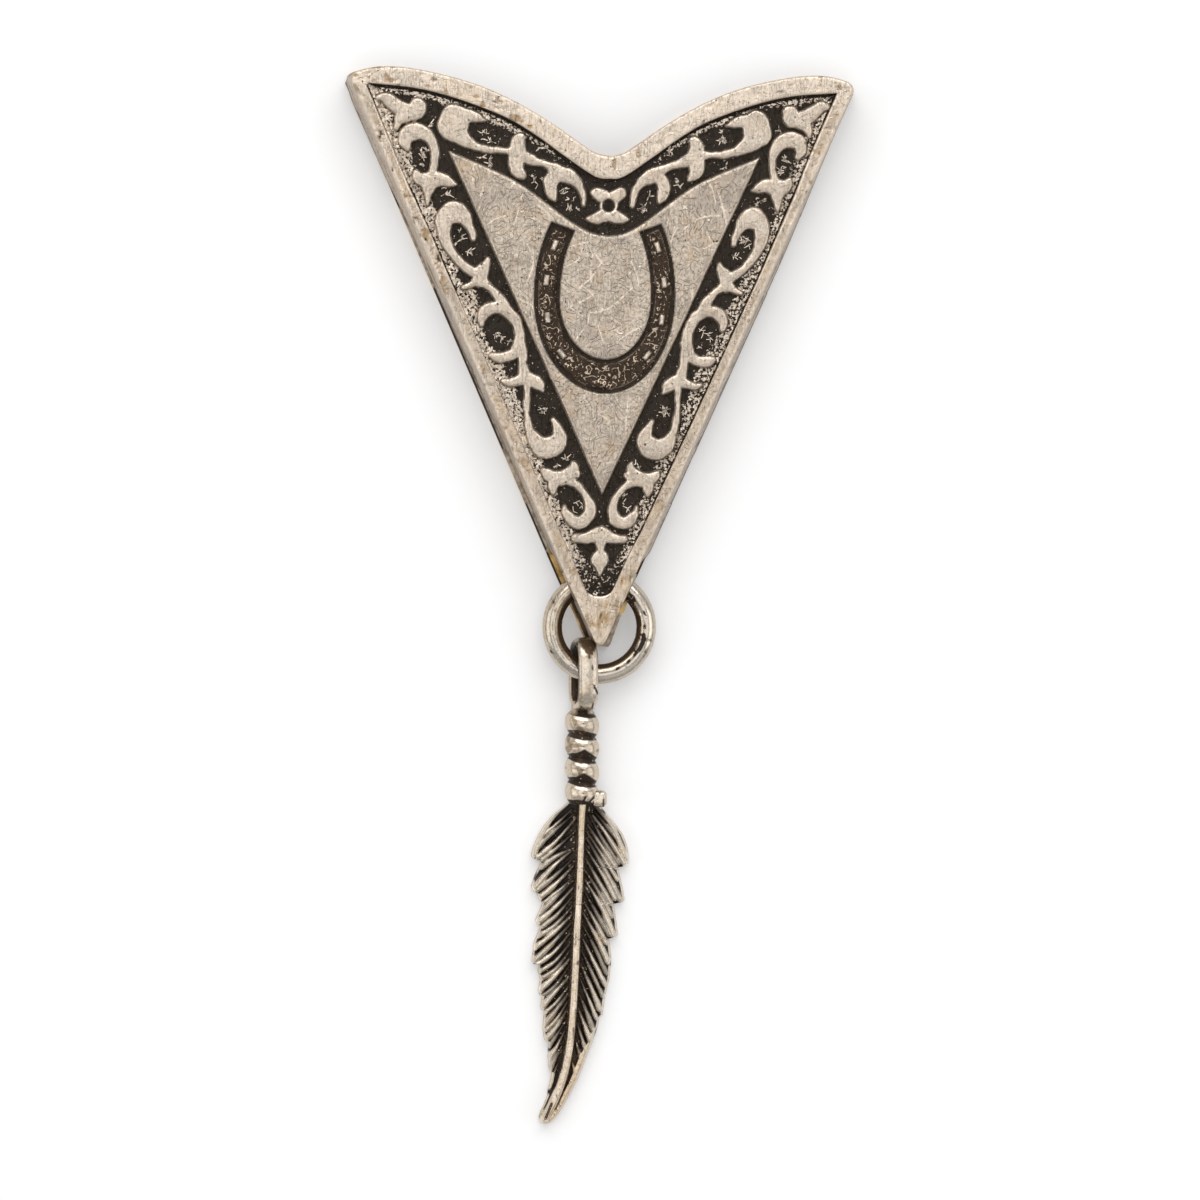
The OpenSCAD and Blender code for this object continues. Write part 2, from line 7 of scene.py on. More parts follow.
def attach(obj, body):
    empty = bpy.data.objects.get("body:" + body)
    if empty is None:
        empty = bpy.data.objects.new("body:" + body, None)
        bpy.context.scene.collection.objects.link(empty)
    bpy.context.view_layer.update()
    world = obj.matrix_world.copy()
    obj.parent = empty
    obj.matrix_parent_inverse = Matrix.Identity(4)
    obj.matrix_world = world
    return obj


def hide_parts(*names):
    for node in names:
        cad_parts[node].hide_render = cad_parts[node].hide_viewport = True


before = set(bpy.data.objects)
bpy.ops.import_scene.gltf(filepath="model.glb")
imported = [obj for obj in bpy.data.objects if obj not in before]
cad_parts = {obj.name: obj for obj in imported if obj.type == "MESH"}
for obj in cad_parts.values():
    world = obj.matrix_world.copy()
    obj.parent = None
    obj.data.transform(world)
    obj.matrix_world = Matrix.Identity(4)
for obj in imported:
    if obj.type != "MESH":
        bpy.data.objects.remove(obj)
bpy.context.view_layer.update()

mm = 0.001
scene = bpy.context.scene

# sizes in mm, as in the part
plate = {"outerWing": 18.4, "innerWing": 17.2, "drawnWing": 17.8, "baseZ": 0.52, "pocketZ": 2.6,
         "groundZ": 3.15, "reliefZ": 3.55, "rimZ": 3.65, "lean": 0.26, "wall": 0.95, "slitZ": 0.85,
         "tipHalf": 0.55, "tipY": -24.0}
ringAt = {"y": -22.8, "z": 1.7, "middle": 3.3, "wire": 0.7}


def speckle(x, y, grain, seed):
    # smooth random values 0 to 1: each square of one grain blends the values of its four corners
    table = np.random.default_rng(seed).random((256, 256))
    u, v = x / grain + 37.3, y / grain + 91.7
    i, j = np.floor(u).astype(int), np.floor(v).astype(int)
    a, b = u - i, v - j
    a, b = a * a * (3 - 2 * a), b * b * (3 - 2 * b)
    low = table[i % 256, j % 256] * (1 - a) + table[(i + 1) % 256, j % 256] * a
    high = table[i % 256, (j + 1) % 256] * (1 - a) + table[(i + 1) % 256, (j + 1) % 256] * a
    return low * (1 - b) + high * b


def grit(x, y, grain, seed):
    # three layers of speckle, each half as large and half as strong as the last
    return (speckle(x, y, grain, seed) * 4 + speckle(x, y, grain / 2, seed + 1) * 2
            + speckle(x, y, grain / 4, seed + 2)) / 7


def ramp(value, start, end):
    # 0 before start, 1 after end, a smooth S between
    t = np.clip((value - start) / (end - start), 0, 1)
    return t * t * (3 - 2 * t)


def hill(value, centre, width):
    # 1 at the centre, falling to about a third at one width from it
    return np.exp(-((value - centre) / width) ** 2)


def tipShift(y):
    # how far the plate's lower part lies to the left of the drawing, in mm
    return 0.14 * ramp(-y, 4, 22)


def stacked(x, y, z):
    # one row of three for each point
    return np.stack([x, y, z], -1).reshape(-1, 3)


def circle(count):
    # evenly spaced angles all the way round
    return np.linspace(0, 2 * np.pi, count, endpoint=False)


def blunted(value, power):
    # a sine or cosine raised to a power below 1, which squares a round section
    return np.sign(value) * np.abs(value) ** power


def smoothLine(rows, steps):
    # curve through the rows whose slope at each is half the way between its neighbours
    p = np.array(rows, float)
    n = len(p)
    a, b, c, d = p[[0] + list(range(n - 2))], p[:-1], p[1:], p[list(range(2, n)) + [n - 1]]
    t = (np.arange(steps) / steps)[None, :, None]
    a, b, c, d = a[:, None], b[:, None], c[:, None], d[:, None]
    q = 0.5 * (2 * b + (c - a) * t + (2 * a - 5 * b + 4 * c - d) * t ** 2
               + (3 * b - a - 3 * c + d) * t ** 3)
    return np.vstack([q.reshape(-1, p.shape[1]), p[-1:]])


def evenly(points, count):
    # the same line with count points at equal distances
    points = np.asarray(points, float)
    way = np.r_[0, np.cumsum(np.linalg.norm(np.diff(points, axis=0), axis=1))]
    at = np.linspace(0, way[-1], count)
    return np.stack([np.interp(at, way, points[:, k]) for k in range(points.shape[1])], 1)


def pieceDistance(x, y, a, b):
    # distance to a straight piece, and how far along it the nearest point lies, 0 to 1
    run = b - a
    t = np.clip(((x - a[0]) * run[0] + (y - a[1]) * run[1]) / max(run @ run, 1e-12), 0, 1)
    return np.hypot(x - a[0] - t * run[0], y - a[1] - t * run[1]), t


def nearest(x, y, pieces):
    # least distance to any of some straight pieces
    return np.min([pieceDistance(x, y, *np.array(ends))[0] for ends in pieces], axis=0)


def strokeDistance(x, y, strokes, reach=1.2, steps=4):
    # least distance to a stroke's middle line less its half width there, negative inside
    best = np.full(x.shape, reach)
    for rows in strokes:
        line = smoothLine(rows, steps)
        margin = reach + line[:, 2].max()
        low, high = line[:, :2].min(0) - margin, line[:, :2].max(0) + margin
        near = (x > low[0]) & (x < high[0]) & (y > low[1]) & (y < high[1])
        px, py, found = x[near], y[near], best[near]
        for a, b in zip(line[:-1], line[1:]):
            away, t = pieceDistance(px, py, a[:2], b[:2])
            found = np.minimum(found, away - a[2] - t * (b[2] - a[2]))
        best[near] = found
    return best


def outlineDistance(x, y, outline):
    # distance to a closed outline, negative where a level line crosses it an odd number of times
    best, inside = np.full(x.shape, 1e3), np.zeros(x.shape, bool)
    for a, b in zip(outline, np.roll(outline, -1, axis=0)):
        best = np.minimum(best, pieceDistance(x, y, a, b)[0])
        rise = b[1] - a[1]
        if abs(rise) > 1e-9:
            inside ^= ((a[1] > y) != (b[1] > y)) & (x < a[0] + (y - a[1]) * (b[0] - a[0]) / rise)
    return np.where(inside, -best, best)


def onWing(points):
    # from the drawing's width to the real width of each wing
    points = np.array(points, float)
    wing = np.where(points[:, 0] < 0, plate["outerWing"], plate["innerWing"])
    points[:, 0] *= wing / plate["drawnWing"]
    return points


def whole(half):
    # an outline from its left half, which runs from the middle above to the middle below
    half = np.array(half, float)
    return np.vstack([half, (half * [-1, 1])[::-1][1:-1]])


def putMesh(name, points, faces, attributes, material, node, smooth=True):
    # points in mm; faces is a list of whole arrays, one for each number of corners
    mesh = bpy.data.meshes.new(name)
    corners = [row for part in faces for row in np.asarray(part).tolist()]
    mesh.from_pydata((np.asarray(points) * mm).tolist(), [], corners)
    for title, values in attributes.items():
        layer = mesh.attributes.new(title, "FLOAT", "POINT")
        layer.data.foreach_set("value", np.asarray(values, np.float32).ravel())
    mesh.polygons.foreach_set("use_smooth", np.full(len(mesh.polygons), smooth))
    mesh.materials.append(material)
    piece = bpy.data.objects.new(name, mesh)
    scene.collection.objects.link(piece)
    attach(piece, "root")
    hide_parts(node)
    return piece


def tidyNormals(piece, fill=False):
    # all faces turned outwards; an open border is closed first where asked
    work = bmesh.new()
    work.from_mesh(piece.data)
    if fill:
        bmesh.ops.holes_fill(work, edges=[e for e in work.edges if e.is_boundary], sides=0)
    bmesh.ops.recalc_face_normals(work, faces=work.faces)
    work.to_mesh(piece.data)
    work.free()


def platePiece(name, points, faces, attributes, smooth=True, fill=False):
    # a piece of the plate's casting, in its silver
    piece = putMesh(name, points, faces, attributes, plateSilver, "front_plate",
                    smooth)
    tidyNormals(piece, fill)


def gridFaces(rows, columns, wrapRows=False, wrapColumns=False):
    # four corners of each cell of a grid of points; a wrapped side joins its last line to the first
    i = np.arange(rows if wrapRows else rows - 1)[:, None]
    j = np.arange(columns if wrapColumns else columns - 1)[None, :]
    k, m = (i + 1) % rows, (j + 1) % columns
    return np.stack([i * columns + j, k * columns + j, k * columns + m, i * columns + m],
                    -1).reshape(-1, 4)


def capFaces(first, count, pole, flip):
    # fan from a pole to one closed line of points
    a = first + np.arange(count)
    b = first + (np.arange(count) + 1) % count
    fan = np.stack([a, b, np.full(count, pole)], 1)
    return fan[:, ::-1] if flip else fan


def tubeFaces(rows, columns, flip=False):
    # a tube of closed rows, capped by two poles that follow its points
    total = rows * columns
    return [gridFaces(rows, columns, False, True), capFaces(0, columns, total, flip),
            capFaces(total - columns, columns, total + 1, not flip)]


def turned(points, degrees, about):
    # turned about an upright line through a point
    angle = np.radians(degrees)
    c, s = np.cos(angle), np.sin(angle)
    x, y = points[..., 0] - about[0], points[..., 1] - about[1]
    return np.stack([about[0] + c * x - s * y, about[1] + s * x + c * y, points[..., 2]], -1)


class Flow:
    # a node output that can be calculated with
    def __init__(self, tree, socket=None):
        self.tree, self.socket = tree, socket

    def make(self, kind, settings=None, inputs=None, out=0):
        node = self.tree.nodes.new(kind)
        for key, value in (settings or {}).items():
            setattr(node, key, value)
        for key, value in (inputs or {}).items():
            if isinstance(value, Flow):
                self.tree.links.new(value.socket, node.inputs[key])
            else:
                node.inputs[key].default_value = value
        return Flow(self.tree, node.outputs[out])

    def maths(self, operation, *values):
        return self.make("ShaderNodeMath", {"operation": operation}, dict(enumerate(values)))

    def __add__(self, other):
        return self.maths("ADD", self, other)

    def __radd__(self, other):
        return self.maths("ADD", other, self)

    def __sub__(self, other):
        return self.maths("SUBTRACT", self, other)

    def __rsub__(self, other):
        return self.maths("SUBTRACT", other, self)

    def __mul__(self, other):
        return self.maths("MULTIPLY", self, other)

    def __rmul__(self, other):
        return self.maths("MULTIPLY", other, self)

    def feed(self, shader, socketName):
        self.tree.links.new(self.socket, shader.inputs[socketName])

    def held(self):
        return self.make("ShaderNodeClamp", None, {"Value": self})

    def between(self, low, high):
        return self.make("ShaderNodeMapRange", {"interpolation_type": "SMOOTHSTEP"},
                         {"Value": self, "From Min": low, "From Max": high})


def newMaterial(name):
    material = bpy.data.materials.new(name)
    material.use_nodes = True
    tree = material.node_tree
    shader = tree.nodes["Principled BSDF"]
    return material, Flow(tree), shader


def attribute(flow, name):
    # a value that each point of the mesh carries
    return flow.make("ShaderNodeAttribute", {"attribute_name": name}, out=2)


def placed(flow, scale=(1000, 1000, 1000), turn=0.0):
    # object coordinates in mm, turned and stretched
    coordinates = flow.make("ShaderNodeTexCoord", out=3)
    return flow.make("ShaderNodeMapping", None,
                     {"Vector": coordinates, "Scale": scale, "Rotation": (0, 0, turn)})


def noise(flow, vector, scale, detail=2.0, roughness=0.5):
    return flow.make("ShaderNodeTexNoise", None,
                     {"Vector": vector, "Scale": scale, "Detail": detail, "Roughness": roughness})


def tinted(tone, *shares):
    # a tone's three parts, each multiplied by its share or all by the only one, kept below white
    shares = shares if len(shares) == 3 else shares * 3
    return tuple(min(share * part, 0.98) for share, part in zip(shares, tone)) + (1,)


def mixed(flow, factor, first, second):
    # the first colour at 0, the second at 1
    return flow.make("ShaderNodeMix", {"data_type": "RGBA"}, {0: factor, 6: first, 7: second},
                     out=2)


def scratches(flow, turn, stretch, width):
    # thin straight lines where a noise stretched along one direction passes a narrow band of
    # values, broken into pieces by a second noise
    value = noise(flow, placed(flow, (1000 * stretch, 1000 / stretch, 1000), turn), 1.6, 1)
    away = flow.maths("ABSOLUTE", value - 0.5)
    broken = noise(flow, placed(flow, turn=turn + 1), 0.9, 1).between(0.46, 0.56)
    return (1 - away.between(0.0, width)) * broken


def curls(flow, here, scale, rings, width):
    # short curved hairs: contour lines of a soft noise, kept only where a second noise is high
    value = noise(flow, here, scale, 0)
    wave = flow.maths("PINGPONG", value * rings, 1.0)
    kept = noise(flow, here, scale * 2.3, 1).between(0.5, 0.56)
    return (1 - wave.between(0.0, width)) * kept


def agedSilver(name, silver, dark, marks=1.0, rough=0.42, brown=(0.085, 0.055, 0.032)):
    # old plated silver: bright where the piece's shine is 1, lighter still where it is above 1 for
    # painted highlights, and nearly black where it is 0, for patina and for painted shade;
    # stainAndReflection turns the bright parts tan and the dark parts brown, as real stains and as
    # painted reflections; crumb breaks the skin into grains and web lays thin curly threads on it
    material, flow, shader = newMaterial(name)
    here = placed(flow)
    shine, stainAndReflection = attribute(flow, "shine"), attribute(flow, "stainAndReflection")
    crumb, web = attribute(flow, "crumb"), attribute(flow, "web")
    cloud = noise(flow, here, 0.5, 3)
    grain = noise(flow, here, 4.5, 3, 0.65)
    fine = noise(flow, here, 15, 2)
    patch = noise(flow, here, 0.7, 2).between(0.5, 0.64)
    pits = (1 - noise(flow, here, 3.6, 2).between(0.27, 0.33)) * (patch * 0.8 + 0.2)
    tan = noise(flow, here, 0.6, 4, 0.7).between(0.5, 0.68)
    calm = 1 - shine.between(0.98, 1.14) * 0.6
    hairs = curls(flow, here, 0.75, 14, 0.13) + curls(flow, placed(flow, turn=1.0), 0.5, 19, 0.13)
    hairs = hairs.held() * calm * marks
    whiskers = curls(flow, placed(flow, turn=2.1), 0.55, 17, 0.14) * calm * marks
    lines = scratches(flow, 0.5, 3.2, 0.009)
    for turn, stretch in ((-0.9, 3.4), (1.5, 3.0), (2.4, 3.6)):
        lines = lines + scratches(flow, turn, stretch, 0.009)
    lines = lines.held() * marks
    threads = (1 - flow.maths("PINGPONG", noise(flow, here, 1.5, 1, 0.6) * 8, 1.0).between(
        0.1, 0.34)) * noise(flow, here, 2.2, 1).between(0.43, 0.52) * web
    spread = min(1.0, 0.25 + marks)
    grains = (noise(flow, here, 5.0, 2, 0.7) + crumb * 0.33).between(0.655, 0.7)
    grains = (grains + threads * 0.85).held()
    skin = (shine + grains * (1 - shine.held()) * 0.95).held()
    worn = (skin + (grain - 0.5) * 0.22 * spread + (cloud - 0.5) * 0.12
            - pits * 0.75 * marks).held()
    bright = mixed(flow, (grain.between(0.34, 0.66) - 0.5) * spread + 0.5,
                   tinted(silver, 0.7), tinted(silver, 1.14))
    bright = mixed(flow, cloud.between(0.46, 0.7) * 0.8 * marks, bright,
                   tinted(silver, 0.64, 0.65, 0.68))
    bright = mixed(flow, (tan * 0.36 + stainAndReflection * 0.85).held(), bright,
                   tinted(silver, 0.8, 0.64, 0.45))
    light = tinted(silver, 1.45)
    bright = mixed(flow, ((grain - 0.5) * 0.4 + shine.between(1.0, 1.3) + grains * 0.6).held(),
                   bright, light)
    bright = mixed(flow, hairs * 0.3, bright, tinted(silver, 0.46, 0.38, 0.3))
    bright = mixed(flow, (lines * 0.85 + whiskers * 0.85).held(), bright, light)
    shade = mixed(flow, stainAndReflection.held(), dark + (1,), brown + (1,))
    tone = mixed(flow, worn.between(0.08, 0.85), shade, bright)
    tone.feed(shader, "Base Color")
    metal = skin.between(0.05, 0.6) * 0.85 + 0.12
    roughness = rough + 0.04 - worn * 0.1 + ((fine - 0.5) * 0.16 + hairs * 0.1) * marks
    metal.feed(shader, "Metallic")
    roughness.feed(shader, "Roughness")
    shader.inputs["Specular IOR Level"].default_value = 0.15
    height = (grain * 0.28 + fine * 0.15 + cloud * 0.9) * marks + grains * 0.9 + lines * 0.35 \
        + whiskers * 0.5 - hairs * 0.35 - pits * 1.2 * marks
    bump = flow.make("ShaderNodeBump", None, {"Strength": 1.0, "Distance": 0.00009,
                                              "Height": height})
    bump.feed(shader, "Normal")
    return material


# name, silver, dark, strength of the marks, roughness, brown
plateSilver = agedSilver("plate_silver", (0.56, 0.48, 0.395), (0.027, 0.0195, 0.0135),
                         brown=(0.048, 0.03, 0.018))
featherSilver = agedSilver("feather_silver", (0.68, 0.595, 0.49), (0.017, 0.0115, 0.0085), 0.12,
                           0.27, brown=(0.07, 0.042, 0.022))
ringSilver = agedSilver("ring_silver", (0.58, 0.52, 0.44), (0.02, 0.012, 0.007), 0.08, 0.2,
                        brown=(0.06, 0.035, 0.018))


# each side's straight edge: its upper end's distance from the middle and its direction inwards;
# stretches by their y: the slits, the bare brass above the ring, the tab at the ring
brass = {"left": (18.45, 0.9117, 0.4108), "right": (17.2, 0.9197, 0.3927), "top": 14.9,
         "slits": ((14.9, 6.2), (0.8, -10.6), (-14.1, -17.6)), "bare": (-20.9, -17.8),
         "tab": (-22.0, -21.0), "dark": (0.26, 0.15, 0.05, 1), "light": (0.6, 0.4, 0.17, 1),
         "coatDark": (0.26, 0.205, 0.15, 1), "coatLight": (0.52, 0.44, 0.35, 1),
         "slitShadow": (0.02, 0.014, 0.01, 1), "bareShadow": (0.03, 0.02, 0.012, 1),
         "ringShade": (0.06, 0.04, 0.024, 1)}


def brassMaterial():
    # dull brass; its border is silvered above like the casting, but for the stretch above the ring,
    # where it is bare; a black line of painted shadow runs along the outer edge in the slits and
    # along the bare stretch
    material, flow, shader = newMaterial("back_brass")
    here = placed(flow)
    across, along, up = (flow.make("ShaderNodeSeparateXYZ", None, {0: here}, out=k)
                         for k in range(3))
    wave = noise(flow, here, 1.5, 2) - 0.5
    tone = mixed(flow, noise(flow, here, 1.2, 4, 0.6).between(0.35, 0.7),
                 brass["dark"], brass["light"])
    place = along + wave * 0.6
    edgeX, sideways, upwards = brass["left"]
    fromLeft = (across + edgeX) * sideways + (along - brass["top"]) * upwards + wave * 0.08
    edgeX, sideways, upwards = brass["right"]
    fromRight = (edgeX - across) * sideways + (along - brass["top"]) * upwards + wave * 0.08
    edge = 1 - flow.maths("MINIMUM", fromLeft, fromRight).between(0.1, 0.17)
    slit = 0
    for top, bottom in brass["slits"]:
        slit = slit + (1 - place.between(top - 0.2, top)) * place.between(bottom, bottom + 0.2)
    low, high = brass["bare"]
    bare = place.between(low, low + 0.4) * (1 - place.between(high, high + 0.3))
    tabLow, tabHigh = brass["tab"]
    tab = across.between(0.9, 1.1) * place.between(tabLow, tabLow + 0.1) \
        * (1 - place.between(tabHigh, tabHigh + 0.1))
    line = (1 - across.between(-1.2, -1.0)) * (1 - place.between(low, low + 0.4)) * 0.85
    coat = up.between(0.15, 0.3) * (1 - (bare + tab + line).held())
    silver = mixed(flow, noise(flow, here, 2.5, 3).between(0.35, 0.65), brass["coatDark"],
                   brass["coatLight"])
    # painted shadow: a black line along the outer edge in the slits
    coatTone = mixed(flow, (slit * edge).held(), silver, brass["slitShadow"])
    tone = mixed(flow, coat, tone, coatTone)
    # painted shadow: a black line along the bare stretch's outer edge
    tone = mixed(flow, bare * edge, tone, brass["bareShadow"])
    inRing = (1 - place.between(tabHigh, tabHigh + 0.2)) * (1 - across.between(-0.6, -0.4))
    tone = mixed(flow, inRing * fromLeft.between(0.16, 0.24), tone, brass["ringShade"])
    tone.feed(shader, "Base Color")
    rough = noise(flow, here, 3, 3) * 0.25 + 0.25 + coat * 0.15
    rough.feed(shader, "Roughness")
    metal = 0.95 - (slit * edge).held() * 0.8
    metal.feed(shader, "Metallic")
    return material


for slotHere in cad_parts["back_plate"].material_slots:
    slotHere.material = brassMaterial()
print("finishes made")

# outlines of the casting's rim; tables of the left half at the drawing's width: x, y
notchEdge = [[0, 10.1], [-1.2, 10.4], [-3.6, 12.05], [-6, 13.5], [-8.5, 14.65], [-11, 15.4],
             [-13.5, 15.88], [-15.5, 15.95], [-17.0, 15.62], [-17.6, 15.25], [-17.75, 14.9]]
rimNotch = [[0, 8.47], [-1, 8.62], [-3, 9.95], [-5, 11.38], [-7, 12.55], [-10, 13.7],
            [-13, 14.45], [-16.25, 14.75]]
rimSide = [[-16.25, 14.75], [-10.95, 2.2], [-1, -20]]
rimEnd = [[-1, -20], [-0.8, -20.3], [-0.4, -20.52], [0, -20.58]]
slits = [[14.9, 6.2], [0.8, -10.6], [-14.1, -23.4]]          # from y, to y, down the side

# stripes along the wall: share of its height, width, depth of tone
rim = {"round": 0.22, "bevel": 0.17, "bevelDrop": 0.05, "bevelFoot": 3.52, "innerFoot": 3.05,
       "notchSteps": 150, "bendSteps": 12, "sideSteps": 300, "innerSteps": 800, "tipSteps": 18,
       "cornerRow": 8, "openTo": -16.7, "thinWall": 0.5, "wave": 0.02, "dent": 0.05,
       "ringGap": (-19.0, -21.1), "stripes": ((0.36, 0.06, 0.5), (0.66, 0.05, 0.32))}


def rimStations():
    # rows from the notch's middle to the point's middle: base x and y, inner x and y, lean, lowest
    # z, wall's thickness, and 1 where the row lies on the straight side
    edge, inner, belowCorner = smoothLine(notchEdge, 12), smoothLine(rimNotch, 12), [-16.24, 14.6]
    corner = int(np.argmin(np.hypot(*(edge - notchEdge[rim["cornerRow"]]).T)))
    parts = [(evenly(edge[:corner + 1], rim["notchSteps"]), evenly(inner, rim["notchSteps"]))]
    bend, tipRows = rim["bendSteps"], rim["tipSteps"]
    parts.append((evenly(edge[corner:], bend)[1:],
                  evenly([rimSide[0], [-16.3, 14.72], belowCorner], bend)[1:]))
    side = [notchEdge[-1], [-plate["tipHalf"], plate["tipY"] + 0.3]]
    cuts = np.array([end + gap for pair in slits + [rim["ringGap"]] for end in pair
                     for gap in (-0.02, 0.02)])
    at = np.sort(np.r_[np.linspace(0, 1, rim["sideSteps"]),
                       (side[0][1] - cuts) / (side[0][1] - side[1][1])])
    at = np.unique(at[(at > 0) & (at <= 1)])
    line = evenly(side, 2)
    innerLine = evenly([belowCorner] + rimSide[1:], rim["innerSteps"])
    parts.append((line[0] + (line[1] - line[0]) * at[:, None],
                  innerLine[np.round(at * (rim["innerSteps"] - 1)).astype(int)]))
    tip = [side[1], [-0.42, -23.9], [-0.25, -23.99], [0, plate["tipY"]]]
    parts.append((evenly(tip, tipRows)[1:], evenly(smoothLine(rimEnd, 6), tipRows)[1:]))
    base = np.vstack([p[0] for p in parts])
    innerAll = np.vstack([p[1] for p in parts])
    y = base[:, 1]
    onSide = np.r_[np.zeros(len(parts[0][0])), np.linspace(0, 1, bend - 1),
                   np.ones(len(at) + tipRows - 1)]
    lean = np.minimum(plate["lean"] * onSide, 0.8 * -base[:, 0])
    low = np.full(len(y), plate["baseZ"])
    for top, bottom in slits:
        low[(onSide == 1) & (y < top) & (y > bottom)] = plate["slitZ"]
    inGap = (y < rim["ringGap"][0]) & (y > rim["ringGap"][1])
    low[inGap] = plate["pocketZ"] - 0.01
    low[(onSide == 0) & (base[:, 0] > rim["openTo"])] = plate["pocketZ"] - 0.01
    wall = np.where(low > 2.5, rim["thinWall"],
                    np.minimum(plate["wall"], 0.97 * -base[:, 0] + 0.02))
    return np.c_[base, innerAll, lean, low, wall, onSide]


def innerShift(y, left):
    # how far each side's inner edge lies outside the drawn one, in mm
    return np.where(left, 0.04 + 0.16 * ramp(y, 3, 8), 0.12 * (1 - ramp(y, 7, 10)))


